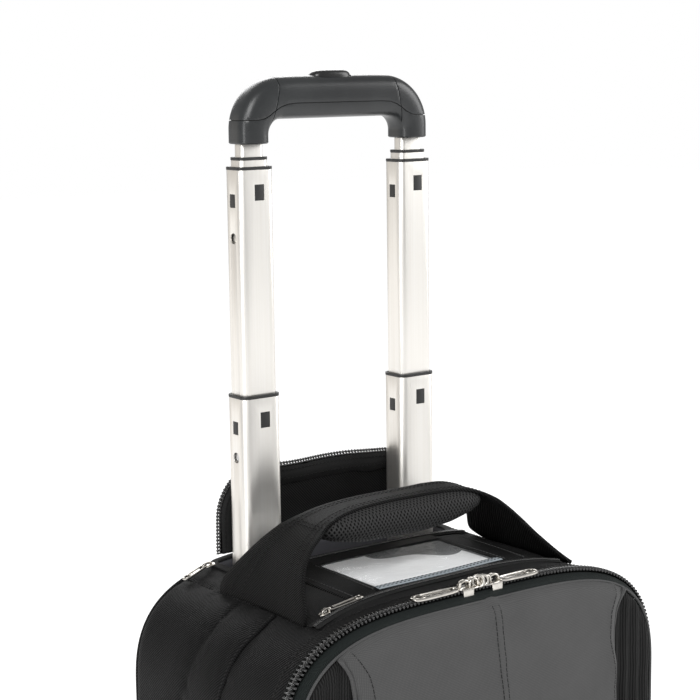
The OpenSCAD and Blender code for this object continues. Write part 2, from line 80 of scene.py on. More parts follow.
def look_matrix(yaw, pitch, roll):
    """Rotation of a camera that looks along +Y turned to the right by yaw, down by pitch and rolled."""
    forward = Vector((math.sin(yaw) * math.cos(pitch), math.cos(yaw) * math.cos(pitch), -math.sin(pitch)))
    level = Vector((math.cos(yaw), -math.sin(yaw), 0))
    over = level.cross(forward)
    right = math.cos(roll) * level + math.sin(roll) * over
    up = -math.sin(roll) * level + math.cos(roll) * over
    return Matrix((right, up, -forward)).transposed()


def make_camera():
    """The camera: at the height of the grip, in front of the case and to its left."""
    data = bpy.data.cameras.new("camera")
    data.sensor_width = 36
    data.lens = 92.1
    data.clip_end = 50
    camera = bpy.data.objects.new("camera", data)
    turn = look_matrix(math.radians(36.56), math.radians(8.99), math.radians(-0.73))
    camera.matrix_world = Matrix.Translation((-0.811, -1.0305, 0.779)) @ turn.to_4x4()
    scene.collection.objects.link(camera)
    scene.camera = camera


def area_light(name, place, target, size, power, tint=(1, 1, 1)):
    """A soft rectangular light that the camera does not see."""
    data = bpy.data.lights.new(name, "AREA")
    data.shape = "RECTANGLE"
    data.size, data.size_y = size
    data.energy = power
    data.color = tint
    light = bpy.data.objects.new(name, data)
    light.location = place
    light.rotation_euler = (Vector(target) - Vector(place)).to_track_quat("-Z", "Y").to_euler()
    light.visible_camera = False
    scene.collection.objects.link(light)


def make_world():
    """White to the eye of the camera, and a softer grey light on everything else."""
    world = bpy.data.worlds.new("studio")
    scene.world = world
    world.use_nodes = True
    tree = world.node_tree
    dim = tree.nodes["Background"]
    dim.inputs["Color"].default_value = (1, 1, 1, 1)
    dim.inputs["Strength"].default_value = 0.42
    seen = tree.nodes.new("ShaderNodeBackground")
    seen.inputs["Color"].default_value = (1, 1, 1, 1)
    path = tree.nodes.new("ShaderNodeLightPath")
    mix = tree.nodes.new("ShaderNodeMixShader")
    tree.links.new(path.outputs["Is Camera Ray"], mix.inputs[0])
    tree.links.new(dim.outputs[0], mix.inputs[1])
    tree.links.new(seen.outputs[0], mix.inputs[2])
    tree.links.new(mix.outputs[0], tree.nodes["World Output"].inputs["Surface"])


def make_studio():
    """The lights, the surroundings and the floor."""
    make_world()
    middle = (0, 0, 0.45)
    area_light("key", (-1.5, -1.6, 2.2), middle, (1.4, 1.4), 42)
    area_light("side", (-2.3, -0.8, 1.0), middle, (0.6, 1.8), 16)
    area_light("warm card", (-1.9, 2.3, 0.5), middle, (1.6, 2.4), 5.5, (1, 0.9, 0.78))
    area_light("right", (2.0, -0.9, 1.4), middle, (1.2, 1.6), 26)
    area_light("rim", (0.9, 2.2, 1.7), middle, (1.6, 1.0), 22)
    mesh = bpy.data.meshes.new("floor")
    half = 9
    corners = [(-half, -half, 0), (half, -half, 0), (half, half, 0), (-half, half, 0)]
    mesh.from_pydata(corners, [], [(0, 1, 2, 3)])
    floor = bpy.data.objects.new("floor", mesh)
    scene.collection.objects.link(floor)
    shade = new_material("floor")
    shade.set("Base Color", (0.4, 0.4, 0.4, 1))
    shade.set("Roughness", 0.9)
    shade.set("Specular IOR Level", 0.0)
    shade.set("Emission Color", (1, 1, 1, 1))
    shade.set("Emission Strength", 0.86)
    mesh.materials.append(shade.material)


# ---- Materials ----


class Shade:
    """A material under construction, with short ways to add and join nodes."""

    def __init__(self, name):
        self.material = bpy.data.materials.new(name)
        self.material.use_nodes = True
        self.tree = self.material.node_tree
        self.surface = self.tree.nodes["Principled BSDF"]
        self.place = self.tree.nodes.new("ShaderNodeTexCoord").outputs["Object"]

    def set(self, socket, value):
        self.surface.inputs[socket].default_value = value
        return self

    def node(self, kind, **values):
        made = self.tree.nodes.new(kind)
        for name, value in values.items():
            setattr(made, name, value)
        return made

    def join(self, source, target):
        self.tree.links.new(source, target)

    def math(self, operation, a, b=0.0):
        made = self.node("ShaderNodeMath", operation=operation)
        for socket, value in zip(made.inputs, (a, b)):
            if isinstance(value, (int, float)):
                socket.default_value = value
            else:
                self.join(value, socket)
        return made.outputs[0]

    def noise(self, scale, detail=2.0, stretch=(1, 1, 1), rough=0.5):
        mapping = self.node("ShaderNodeMapping")
        mapping.inputs["Scale"].default_value = stretch
        self.join(self.place, mapping.inputs["Vector"])
        made = self.node("ShaderNodeTexNoise")
        made.inputs["Scale"].default_value = scale
        made.inputs["Detail"].default_value = detail
        made.inputs["Roughness"].default_value = rough
        self.join(mapping.outputs["Vector"], made.inputs["Vector"])
        return made.outputs["Fac"]

    def ramp(self, factor, stops):
        made = self.node("ShaderNodeValToRGB")
        elements = made.color_ramp.elements
        while len(elements) < len(stops):
            elements.new(0.5)
        for element, (place, colour) in zip(elements, stops):
            element.position = place
            element.color = (*colour, 1)
        self.join(factor, made.inputs["Fac"])
        return made.outputs["Color"]

    def mix(self, factor, a, b):
        made = self.node("ShaderNodeMix", data_type="RGBA")
        if isinstance(factor, (int, float)):
            made.inputs[0].default_value = factor
        else:
            self.join(factor, made.inputs[0])
        self.join(a, made.inputs[6])
        self.join(b, made.inputs[7])
        return made.outputs[2]

    def colour(self, socket):
        self.join(socket, self.surface.inputs["Base Color"])

    def rough(self, factor, low, high):
        made = self.node("ShaderNodeMapRange")
        made.inputs["To Min"].default_value = low
        made.inputs["To Max"].default_value = high
        self.join(factor, made.inputs["Value"])
        self.join(made.outputs["Result"], self.surface.inputs["Roughness"])

    def bump(self, height, strength, distance):
        made = self.node("ShaderNodeBump")
        made.inputs["Strength"].default_value = strength
        made.inputs["Distance"].default_value = distance
        self.join(height, made.inputs["Height"])
        self.join(made.outputs["Normal"], self.surface.inputs["Normal"])

    def blend_value(self, share, first, second):
        """First where share is 0, second where it is 1."""
        rest = self.math("SUBTRACT", 1.0, share)
        return self.math("ADD", self.math("MULTIPLY", second, share), self.math("MULTIPLY", first, rest))

    def flat_place(self):
        """Two coordinates that lie in the surface: chosen from X, Y and Z by which way the surface faces."""
        split = self.node("ShaderNodeSeparateXYZ")
        self.join(self.place, split.inputs[0])
        x, y, z = split.outputs
        facing = self.node("ShaderNodeSeparateXYZ")
        texture = self.node("ShaderNodeTexCoord")
        self.join(texture.outputs["Normal"], facing.inputs[0])
        nx, ny, nz = (self.math("ABSOLUTE", s) for s in facing.outputs)
        side = self.math("GREATER_THAN", nx, self.math("MAXIMUM", ny, nz))
        level = self.math("MULTIPLY", self.math("GREATER_THAN", nz, ny), self.math("SUBTRACT", 1.0, side))
        u = self.blend_value(side, x, y)
        v = self.blend_value(level, z, y)
        return u, v

    def wave(self, value, pitch):
        """A smooth wave from 0 to 1 with that pitch along a coordinate."""
        sine = self.math("SINE", self.math("MULTIPLY", value, 2 * math.pi / pitch))
        return self.math("ADD", self.math("MULTIPLY", sine, 0.5), 0.5)


def new_material(name):
    """An empty material with its Shade helper."""
    return Shade(name)


def weave(name, dark, light, pitch, style="twill", rough=(0.7, 0.9), sheen=0.02, depth=0.25, cloudy=0.35):
    """Cloth with a real weave: its threads, a little unevenness between them, and faint marks of use."""
    s = new_material(name)
    u, v = s.flat_place()
    wobble = s.math("MULTIPLY", s.noise(60, 2), pitch * 0.8)
    if style == "twill":
        ridge = s.wave(s.math("ADD", s.math("ADD", u, v), wobble), pitch)
        pick = s.wave(s.math("SUBTRACT", s.math("MULTIPLY", u, 0.4), v), pitch * 0.6)
        thread = s.math("MULTIPLY", ridge, s.math("ADD", s.math("MULTIPLY", pick, 0.35), 0.65))
    elif style == "rib":
        thread = s.wave(s.math("ADD", u, wobble), pitch)
    elif style == "cord":
        thread = s.wave(s.math("ADD", v, wobble), pitch)
    elif style == "herringbone":
        zig = s.math("ABSOLUTE", s.math("SUBTRACT", s.math("FRACT", s.math("DIVIDE", v, pitch * 6)), 0.5))
        thread = s.wave(s.math("ADD", u, s.math("MULTIPLY", zig, pitch * 6)), pitch)
    elif style == "mesh":
        one = s.wave(s.math("ADD", u, s.math("MULTIPLY", v, 0.75)), pitch)
        two = s.wave(s.math("SUBTRACT", u, s.math("MULTIPLY", v, 0.75)), pitch)
        thread = s.math("SUBTRACT", 1.0, s.math("MULTIPLY", one, two))
    else:
        thread = s.math("MULTIPLY", s.wave(s.math("ADD", u, wobble), pitch), s.wave(v, pitch))
    weft = s.ramp(thread, [(0.55 if style == "mesh" else 0.15, dark), (0.85, light)])
    worn = s.ramp(s.noise(14, 5, rough=0.6), [(0.3, dark), (0.75, light)])
    s.colour(s.mix(cloudy, weft, worn))
    s.rough(thread, rough[1], rough[0])
    s.set("Sheen Weight", sheen)
    s.set("Sheen Roughness", 0.5)
    s.set("Specular IOR Level", 0.09)
    s.bump(thread, depth, pitch * 0.35)
    return s.material


def plastic(name, dark, light, rough=(0.38, 0.55), grain=2600, depth=0.12):
    """Moulded plastic with a fine spark texture, rubbed a little paler in places."""
    s = new_material(name)
    fine = s.noise(grain, 2)
    s.colour(s.ramp(s.noise(22, 6, rough=0.65), [(0.35, dark), (0.8, light)]))
    s.rough(s.noise(35, 4), rough[0], rough[1])
    s.bump(fine, depth, 0.0002)
    return s.material


def glossy(name):
    """Shiny black nylon, as zip coils are moulded in."""
    s = new_material(name)
    s.colour(s.ramp(s.noise(400, 2), [(0.3, grey(0.003)), (0.7, grey(0.01))]))
    s.rough(s.noise(200, 2), 0.14, 0.24)
    s.set("Specular IOR Level", 0.55)
    s.set("Coat Weight", 0.4)
    s.set("Coat Roughness", 0.1)
    return s.material


def metal(name, dark, light, rough=(0.15, 0.3), stretch=(1, 1, 1), scale=300, depth=0.05, anisotropic=0.0):
    """Bare, plated or anodised metal, with fine lines along stretch's smallest direction."""
    s = new_material(name)
    lines = s.noise(scale, 4, stretch=stretch)
    s.colour(s.ramp(lines, [(0.3, dark), (0.7, light)]))
    s.rough(s.noise(scale * 0.3, 4, stretch=stretch), rough[0], rough[1])
    s.set("Metallic", 1.0)
    s.set("Anisotropic", anisotropic)
    s.bump(lines, depth, 0.0001)
    return s.material


def vinyl(name):
    """Clear sheet, faintly milky, with a soft crumple that breaks up its reflections."""
    s = new_material(name)
    s.set("Base Color", (0.9, 0.93, 0.95, 1))
    s.set("Roughness", 0.12)
    s.set("Specular IOR Level", 0.9)
    s.set("Alpha", 0.22)
    s.bump(s.noise(40, 3, (1, 3, 1)), 0.5, 0.003)
    return s.material


def grey(level, blue=0.0):
    """A grey of the given level, bluer by the given share."""
    return (level, level, level * (1 + blue))


MATERIALS = {
    "black_twill": weave("black_twill", grey(0.0005), grey(0.013, 0.03), 2.3 * MM, "twill", (0.5, 0.68),
                         depth=0.5, cloudy=0.2),
    "front_nylon": weave("front_nylon", grey(0.055), grey(0.1), 1.1 * MM, "plain", (0.5, 0.66),
                         0.06, 0.2, 0.3),
    "ribbed_nylon": weave("ribbed_nylon", grey(0.004), grey(0.022), 1.8 * MM, "rib", (0.6, 0.8), 0.02, 0.4),
    "grey_lining": weave("grey_lining", grey(0.045, 0.1), grey(0.085, 0.12), 0.6 * MM, "plain", (0.42, 0.6),
                         0.05, 0.1),
    "webbing": weave("webbing", grey(0.0005), grey(0.012), 2.3 * MM, "twill", (0.45, 0.65), 0.01, 0.7, 0.2),
    "air_mesh": weave("air_mesh", grey(0.0), grey(0.034), 3.2 * MM, "mesh", (0.45, 0.7), 0.02, 1.0, 0.0),
    "main_zip": weave("main_zip", (0.002, 0.003, 0.003), (0.019, 0.024, 0.023), 0.9 * MM, "herringbone",
                      (0.5, 0.7), 0.02, 0.5, 0.1),
    "black_zip": weave("black_zip", grey(0.006), grey(0.024), 1.4 * MM, "herringbone", (0.6, 0.8), 0.02, 0.4),
    "trim_twill": weave("trim_twill", grey(0.0005), grey(0.016), 2.6 * MM, "twill", (0.5, 0.7),
                        0.01, 0.7, 0.2),
    "clear_vinyl": vinyl("clear_vinyl"),
    "nickel": metal("nickel", (0.46, 0.44, 0.41), (0.7, 0.67, 0.62), (0.16, 0.3), scale=160),
    "anodised_tube": metal("anodised_tube", (0.8, 0.775, 0.73), (0.84, 0.82, 0.785), (0.38, 0.44),
                           (1, 1, 0.01), 500, 0.01, 0.2),
    "raw_aluminium": metal("raw_aluminium", grey(0.5), grey(0.66), (0.3, 0.5), (1, 1, 0.03), 300),
    "collar_plastic": plastic("collar_plastic", grey(0.008), grey(0.02)),
    "inner_plastic": plastic("inner_plastic", grey(0.03), grey(0.06)),
    "housing_plastic": plastic("housing_plastic", grey(0.012), grey(0.032), grain=1400, depth=0.2),
    "grip_plastic": plastic("grip_plastic", (0.013, 0.014, 0.015), (0.026, 0.028, 0.029), (0.24, 0.36),
                            1800, 0.22),
    "button_plastic": plastic("button_plastic", grey(0.01), grey(0.022), (0.2, 0.3), 900, 0.03),
    "steel": metal("steel", grey(0.45), grey(0.62), (0.25, 0.4)),
    "foot_rubber": plastic("foot_rubber", grey(0.010), grey(0.03), (0.7, 0.85)),
    "tyre": plastic("tyre", grey(0.012), grey(0.04), (0.6, 0.8), 500, 0.3),
    "hub_plastic": plastic("hub_plastic", grey(0.06), grey(0.11)),
}
THREAD = weave("thread", grey(0.006), grey(0.02), 0.5 * MM, "rib", (0.5, 0.7), 0.02, 0.3)
PALE_THREAD = weave("pale_thread", grey(0.04), grey(0.09), 0.5 * MM, "rib", (0.5, 0.7), 0.05, 0.3)
CARD = plastic("card", grey(0.86), grey(0.95), (0.5, 0.6), 200, 0.02)
BINDING = weave("binding", (0.20, 0.235, 0.26), (0.36, 0.4, 0.43), 1.0 * MM, "rib", (0.5, 0.7), 0.1, 0.2)
TEETH = glossy("teeth")


# ---- Mesh building ----


class Pile:
    """Points and faces gathered into one mesh."""

    def __init__(self):
        self.points = []
        self.faces = []

    def add(self, points, faces):
        base = len(self.points)
        self.points.extend(points)
        self.faces.extend([tuple(base + i for i in face) for face in faces])
        return self

    def mesh(self, name):
        mesh = bpy.data.meshes.new(name)
        mesh.from_pydata([tuple(p) for p in self.points], [], self.faces)
        mesh.validate()
        made = bmesh.new()
        made.from_mesh(mesh)
        bmesh.ops.recalc_face_normals(made, faces=made.faces)
        made.to_mesh(mesh)
        made.free()
        return mesh

    def piece(self, name, body, slot, material=None, replaces=(), smooth=True):
        return add_piece(name, self.mesh(name), body, slot, material, replaces, smooth)


def add_piece(name, mesh, body, slot, material=None, replaces=(), smooth=True):
    """Puts a finished mesh in the scene as a piece that rides on a body."""
    obj = bpy.data.objects.new(name, mesh)
    scene.collection.objects.link(obj)
    mesh.materials.clear()
    mesh.materials.append(material or MATERIALS[slot])
    mesh.polygons.foreach_set("use_smooth", [smooth] * len(mesh.polygons))
    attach(obj, body)
    if replaces:
        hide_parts(*replaces)
    return obj


def grid_faces(rows, columns, closed):
    """Quads between rings of points, where closed joins each ring's last point to its first."""
    wide = columns if closed else columns - 1
    return [(r * columns + c, r * columns + (c + 1) % columns,
             (r + 1) * columns + (c + 1) % columns, (r + 1) * columns + c)
            for r in range(rows - 1) for c in range(wide)]


def loft(rings, closed=True, caps=True):
    """Points and faces of a skin over rings that all have the same number of points."""
    columns = len(rings[0])
    points = [p for ring in rings for p in ring]
    faces = grid_faces(len(rings), columns, closed)
    if caps:
        faces.append(tuple(range(columns)))
        faces.append(tuple(range(len(points) - columns, len(points))))
    return points, faces


def tangents(path):
    """Unit direction of travel at each point of a path."""
    ends = range(len(path))
    return [(path[min(i + 1, len(path) - 1)] - path[max(i - 1, 0)]).normalized() for i in ends]


def sweep(path, ups, section, caps=True):
    """A section, given as (sideways, up) offsets, carried along a path whose surface faces ups."""
    rings = []
    for i, (point, up, along) in enumerate(zip(path, ups, tangents(path))):
        side = along.cross(up).normalized()
        shape = section(i / (len(path) - 1)) if callable(section) else section
        rings.append([point + side * a + up * b for a, b in shape])
    return loft(rings, True, caps)


def circle_section(radius, sides=8, lift=0.0):
    """A round section."""
    return [(radius * math.cos(2 * math.pi * i / sides), lift + radius * math.sin(2 * math.pi * i / sides))
            for i in range(sides)]


def coil_section(radius, length, pitch):
    """Section of a zip's coil, which swells and narrows as its turns go by."""
    def section(share):
        turn = math.cos(2 * math.pi * share * length / pitch)
        return circle_section(radius * (0.78 + 0.42 * turn), 6)
    return section


def coil_row(pile, points, ups, radius, pitch=1.7 * MM):
    """One row of a coil zip along a path."""
    length = sum((b - a).length for a, b in zip(points, points[1:]))
    row = resample(points, pitch / 4)
    pile.add(*sweep(row, [ups] * len(row), coil_section(radius, length, pitch)))


def band_section(width, thick, lift=0.0):
    """A flat band with its edges rounded off."""
    half, edge = width / 2, min(thick * 0.5, width * 0.2)
    return [(-half, lift), (half, lift), (half, lift + thick - edge), (half - edge, lift + thick),
            (edge - half, lift + thick), (-half, lift + thick - edge)]


def superellipse(a, b, power, count, centre=(0.0, 0.0)):
    """Points round an oval that grows squarer as power rises."""
    points = []
    for i in range(count):
        t = 2 * math.pi * i / count
        c, s = math.cos(t), math.sin(t)
        points.append((centre[0] + a * math.copysign(abs(c) ** (2 / power), c),
                       centre[1] + b * math.copysign(abs(s) ** (2 / power), s)))
    return points


def resample(points, step=None, count=None):
    """Points evenly spaced along a polyline."""
    run = [0.0]
    for a, b in zip(points, points[1:]):
        run.append(run[-1] + (b - a).length)
    if count is None:
        count = max(2, round(run[-1] / step) + 1)
    made, k = [], 0
    for i in range(count):
        want = run[-1] * i / (count - 1)
        while k < len(points) - 2 and run[k + 1] < want:
            k += 1
        share = (want - run[k]) / max(run[k + 1] - run[k], 1e-9)
        made.append(points[k].lerp(points[k + 1], share))
    return made


def smooth_between(value, table):
    """Smooth reading of a short table of (place, value) pairs, in rising order of place."""
    if value <= table[0][0]:
        return table[0][1]
    if value >= table[-1][0]:
        return table[-1][1]
    for i in range(len(table) - 1):
        if value <= table[i + 1][0]:
            break
    p = [table[max(i - 1, 0)], table[i], table[i + 1], table[min(i + 2, len(table) - 1)]]
    width = p[2][0] - p[1][0]
    first = (p[2][1] - p[0][1]) / max(p[2][0] - p[0][0], 1e-9) * width
    second = (p[3][1] - p[1][1]) / max(p[3][0] - p[1][0], 1e-9) * width
    t = (value - p[1][0]) / width
    return ((2 * t**3 - 3 * t * t + 1) * p[1][1] + (t**3 - 2 * t * t + t) * first
            + (3 * t * t - 2 * t**3) * p[2][1] + (t**3 - t * t) * second)


def stitch(pile, path, ups, length=2.6 * MM, gap=1.2 * MM, radius=0.36 * MM, lift=0.1 * MM):
    """A row of thread stitches along a path, each a short bead that dips at its ends."""
    points = resample(path, length + gap)
    step = len(path) - 1
    for i in range(len(points) - 1):
        up = ups[min(step, round(i / max(1, len(points) - 1) * step))]
        a, b = points[i], points[i + 1]
        b = a.lerp(b, length / (length + gap))
        line = [a - up * radius, a.lerp(b, 0.2) + up * lift, a.lerp(b, 0.8) + up * lift, b - up * radius]
        pile.add(*sweep(line, [up] * 4, circle_section(radius, 6)))


def smooth_shade(obj):
    """Smooth shading over the whole piece."""
    obj.data.polygons.foreach_set("use_smooth", [True] * len(obj.data.polygons))


def apply_modifiers(obj):
    """Replaces obj's mesh by what its modifiers make of it."""
    made = bpy.data.meshes.new_from_object(obj.evaluated_get(bpy.context.evaluated_depsgraph_get()))
    obj.modifiers.clear()
    obj.data = made
    return obj


def cut(obj, *cutters):
    """Takes closed meshes away from obj."""
    for mesh in cutters:
        tool = bpy.data.objects.new("cutter", mesh)
        scene.collection.objects.link(tool)
        made = obj.modifiers.new("cut", "BOOLEAN")
        made.object = tool
        made.solver = "EXACT"
        bpy.context.view_layer.update()
        apply_modifiers(obj)
        bpy.data.objects.remove(tool)
    return obj


def block_mesh(low, high):
    """A box between two corners."""
    corners = [Vector((x, y, z)) for z in (low[2], high[2]) for x, y in
               ((low[0], low[1]), (high[0], low[1]), (high[0], high[1]), (low[0], high[1]))]
    return Pile().add(*loft([corners[:4], corners[4:]])).mesh("block")


def prism_mesh(outline, low, high, axis):
    """A closed prism over a 2D outline, along axis 1 (Y, outline in XZ) or 2 (Z, outline in XY)."""
    def place(p, at):
        return Vector((p[0], at, p[1])) if axis == 1 else Vector((p[0], p[1], at))

    ends = [[place(p, at) for p in outline] for at in (low, high)]
    return Pile().add(*loft(ends)).mesh("prism")


def bevel(obj, width, segments=2, angle=35):
    """Rounds the edges sharper than an angle."""
    made = obj.modifiers.new("bevel", "BEVEL")
    made.width = width
    made.segments = segments
    made.limit_method = "ANGLE"
    made.angle_limit = math.radians(angle)
    made.harden_normals = False
    return obj


def inflate(obj, voxel, pressure, cap, keep_flat=None):
    """Cloth under pressure: the piece swells as a stuffed one does, and no point moves further than cap.
    With no voxel size the mesh is used as it was built."""
    if voxel:
        remesh = obj.modifiers.new("remesh", "REMESH")
        remesh.mode = "VOXEL"
        remesh.voxel_size = voxel
        apply_modifiers(obj)
    before = [v.co.copy() for v in obj.data.vertices]
    cloth = obj.modifiers.new("cloth", "CLOTH")
    cloth.settings.quality = 4
    cloth.settings.use_pressure = True
    cloth.settings.uniform_pressure_force = pressure
    cloth.settings.effector_weights.gravity = 0
    cloth.settings.tension_stiffness = 25
    cloth.settings.bending_stiffness = 2
    cloth.point_cache.frame_end = 20
    for number in range(1, 21):
        scene.frame_set(number)
    apply_modifiers(obj)
    for vertex, start in zip(obj.data.vertices, before):
        moved = vertex.co - start
        if moved.length > cap:
            moved *= cap / moved.length
        if keep_flat is not None:
            moved *= keep_flat(start)
        vertex.co = start + moved
    scene.frame_set(1)
    smooth_shade(obj)
    return obj


def push_out(obj, amount, first=0):
    """Moves each vertex along its normal by amount(place), from the first-th vertex on."""
    moves = [v.co + v.normal * amount(v.co) for v in obj.data.vertices[first:]]
    for vertex, place in zip(obj.data.vertices[first:], moves):
        vertex.co = place
    obj.data.update()


def sink_seams(obj, seams, depth, width, hollow=0.0, reach=12 * MM, ease=None, first=0):
    """Draws a surface in along seams: a narrow groove with a shallow hollow round it."""
    places = [p for seam in seams for p in resample(seam, 1.5 * MM)]
    tree = KDTree(len(places))
    for i, p in enumerate(places):
        tree.insert(p, i)
    tree.balance()
    moves = []
    for vertex in obj.data.vertices[first:]:
        away = tree.find(vertex.co)[2]
        pucker = 1 + 0.6 * noise.noise(vertex.co * 160)
        drop = depth * math.exp(-(away / width) ** 2) + hollow * math.exp(-(away / reach) ** 2) * pucker
        moves.append(vertex.normal * -drop * (ease(vertex.co) if ease else 1))
    for vertex, move in zip(obj.data.vertices[first:], moves):
        vertex.co += move
    obj.data.update()


# ---- The case's surface ----

CORNER = 14 * MM


def top_height(x, inset=0.0):
    """Height of the case's outline at a distance from the middle, drawn in by inset."""
    half = HALF_W - inset
    along = min(1.0, abs(x) / half)
    return SHOULDER_Z + (TOP_Z - inset - SHOULDER_Z) * (1 - along**4) ** 0.387


def half_outline(inset=0.0, foot=None):
    """The right half of the case's outline, from the middle of the top down to foot."""
    half = HALF_W - inset
    steps = 120
    points = [Vector((half * math.sin(a), 0, top_height(half * math.sin(a), inset)))
              for a in (math.pi / 2 * i / steps for i in range(steps + 1))]
    points.append(Vector((half, 0, BASE_Z if foot is None else foot)))
    return resample(points, count=400)


OUTLINE = half_outline()
OUTLINE_STEP = (OUTLINE[1] - OUTLINE[0]).length
OUTLINE_RUN = OUTLINE_STEP * (len(OUTLINE) - 1)


def run_at_height(z):
    """Distance round the outline from the middle of the top to a height on the side."""
    return next((i * OUTLINE_STEP for i, p in enumerate(OUTLINE) if p.z <= z), OUTLINE_RUN)


def run_at_x(x):
    """Distance along the outline, from its top middle, at which it reaches x."""
    return next((i * OUTLINE_STEP for i, p in enumerate(OUTLINE) if p.x >= x), OUTLINE_RUN)


def skin(run, y, lift=0.0):
    """Point and outward direction on the case's skin, at a distance round from the top's middle."""
    side = 1 if run >= 0 else -1
    place = min(abs(run) / OUTLINE_STEP, len(OUTLINE) - 1.001)
    i = int(place)
    point = OUTLINE[i].lerp(OUTLINE[i + 1], place - i)
    along = (OUTLINE[min(i + 3, len(OUTLINE) - 1)] - OUTLINE[max(i - 2, 0)]).normalized()
    out = Vector((-along.z, 0, along.x))
    if i < 2:
        out = Vector((0, 0, 1))
    turn = math.asin(min(1, max(0, (y - BACK_Y + CORNER) / CORNER)))
    point = point - out * CORNER * (1 - math.cos(turn))
    out = (out * math.cos(turn) + Vector((0, math.sin(turn), 0))).normalized()
    spot = Vector((point.x * side, y, point.z))
    out = Vector((out.x * side, out.y, out.z))
    return spot + out * lift, out


def skin_path(places, lift=0.0, step=3 * MM):
    """Path and directions along the skin through (run, y) places."""
    flat = resample([Vector((run, y, 0)) for run, y in places], step)
    both = [skin(p.x, p.y, lift) for p in flat]
    return [b[0] for b in both], [b[1] for b in both]


def closed_outline(inset, count):
    """The whole outline as a closed ring of evenly spaced points, with rounded lower corners."""
    half, round_off = HALF_W - inset, max(14 * MM - inset * 0.5, 3 * MM)
    foot = BASE_Z + inset
    right = [Vector((half * math.sin(a), 0, top_height(half * math.sin(a), inset)))
             for a in (math.pi / 2 * i / 100 for i in range(101))]
    inner = half - round_off
    right += [Vector((inner + round_off * math.cos(a), 0, foot + round_off - round_off * math.sin(a)))
              for a in (math.pi / 2 * i / 8 for i in range(9))]
    ring = right + [Vector((-p.x, 0, p.z)) for p in reversed(right[1:])]
    ring.append(ring[0].copy())
    return resample(ring, count=count + 1)[:-1]


def shrunk(ring, share):
    """A ring drawn in towards its middle."""
    middle = sum(ring, Vector()) / len(ring)
    return [middle + (p - middle) * share for p in ring]


def at_y(ring, y):
    """A ring moved to one depth."""
    return [Vector((p.x, y, p.z)) for p in ring]


# ---- Soft case ----

SEAM_X = 124.5 * MM
# Two seams that shape each side: places as (height, distance from the middle)
STITCHED_SEAM = [(0.10, 0.050), (0.25, 0.050), (0.300, 0.048), (0.328, 0.044), (0.343, 0.038), (0.358, 0.035),
                 (0.372, 0.032), (0.386, 0.029), (0.397, 0.030)]
PIPED_SEAM = [(0.034, 0.004), (0.25, 0.002), (0.300, -0.001), (0.328, -0.004), (0.342, -0.006),
              (0.355, -0.009), (0.368, -0.011), (0.379, -0.013), (0.388, -0.016), (0.397, -0.015)]


def side_seam(table, side, lift=0.0, step=3 * MM):
    """A seam down one side, from a table of its places."""
    low, high = table[0][0], table[-1][0]
    heights = [low + (high - low) * i / 150 for i in range(151)]
    places = [(side * run_at_height(z), smooth_between(z, table)) for z in heights]
    return skin_path(places, lift, step)


def shoulder_seam(side, lift=0.0):
    """The seam across one shoulder, that the strap ends at."""
    run = run_at_x(SEAM_X) * side
    return skin_path([(run, FRONT_RIM + 3 * MM), (run, BACK_Y - 2 * MM)], lift)


def back_edge(lift=0.0):
    """The piped seam round the edge of the back panel."""
    run = OUTLINE_RUN - 75 * MM
    return skin_path([(-run, BACK_Y - 5 * MM), (run, BACK_Y - 5 * MM)], lift)


def well_ring(inset, corner=26 * MM, back=0.0):
    """Outline of the well, seen from above, set in by a margin."""
    x, front, rear = WELL_X - inset, WELL_FRONT + inset, WELL_BACK - inset + back
    r = max(corner - inset, 4 * MM)
    small = 6 * MM
    ring = []
    for cx, cy, radius, start in ((x - r, front + r, r, -90), (x - small, rear - small, small, 0),
                                  (small - x, rear - small, small, 90), (r - x, front + r, r, 180)):
        for i in range(9):
            a = math.radians(start + 90 * i / 8)
            ring.append((cx + radius * math.cos(a), cy + radius * math.sin(a)))
    return ring


def corner_cutters():
    """The space of the wheel housings, a hair larger than they are."""
    low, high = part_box("wheel_housing_right")
    slack = 1.2 * MM
    for side in (-1, 1):
        x = sorted((side * (low.x - slack), side * (HALF_W + 20 * MM)))
        yield block_mesh((x[0], low.y - slack, -0.01), (x[1], BACK_Y + 0.02, high.z + slack))


def make_shell():
    """Fabric body: one padded skin round the sides, top, bottom and back, open to the front lid."""
    count = 480
    wall = 5.4 * MM
    inner_back = BACK_Y - 9 * MM
    inner = closed_outline(wall, count)
    rings = [at_y(shrunk(inner, share), inner_back) for share in (0.05, 0.4, 0.75, 0.95)]
    rings += [at_y(inner, inner_back + (FRONT_RIM - inner_back) * i / 5) for i in range(6)]
    rings.append(at_y(closed_outline(wall * 0.6, count), FRONT_RIM - 1 * MM))
    inside = len(rings) * count
    outer = closed_outline(0.0, count)
    rings.append(at_y(closed_outline(wall * 0.15, count), FRONT_RIM - 0.8 * MM))
    rings += [at_y(outer, FRONT_RIM + (BACK_Y - CORNER - FRONT_RIM) * i / 60) for i in range(61)]
    for i in range(1, 9):
        a = math.radians(90 * i / 8)
        ring = closed_outline(CORNER * (1 - math.cos(a)), count)
        rings.append(at_y(ring, BACK_Y - CORNER + CORNER * math.sin(a)))
    back = closed_outline(CORNER, count)
    rings += [at_y(shrunk(back, 1 - i / 17), BACK_Y) for i in range(1, 17)]
    obj = Pile().add(*loft(rings)).piece("case_shell", "case", "black_twill", replaces=(
        "side_and_top_panel", "back_panel"))
    soften_shell(obj, inside)
    cut(obj, prism_mesh(well_ring(0.6 * MM), WELL_FLOOR - 3 * MM, TOP_Z + 20 * MM, 2), *corner_cutters())
    smooth_shade(obj)
    return obj


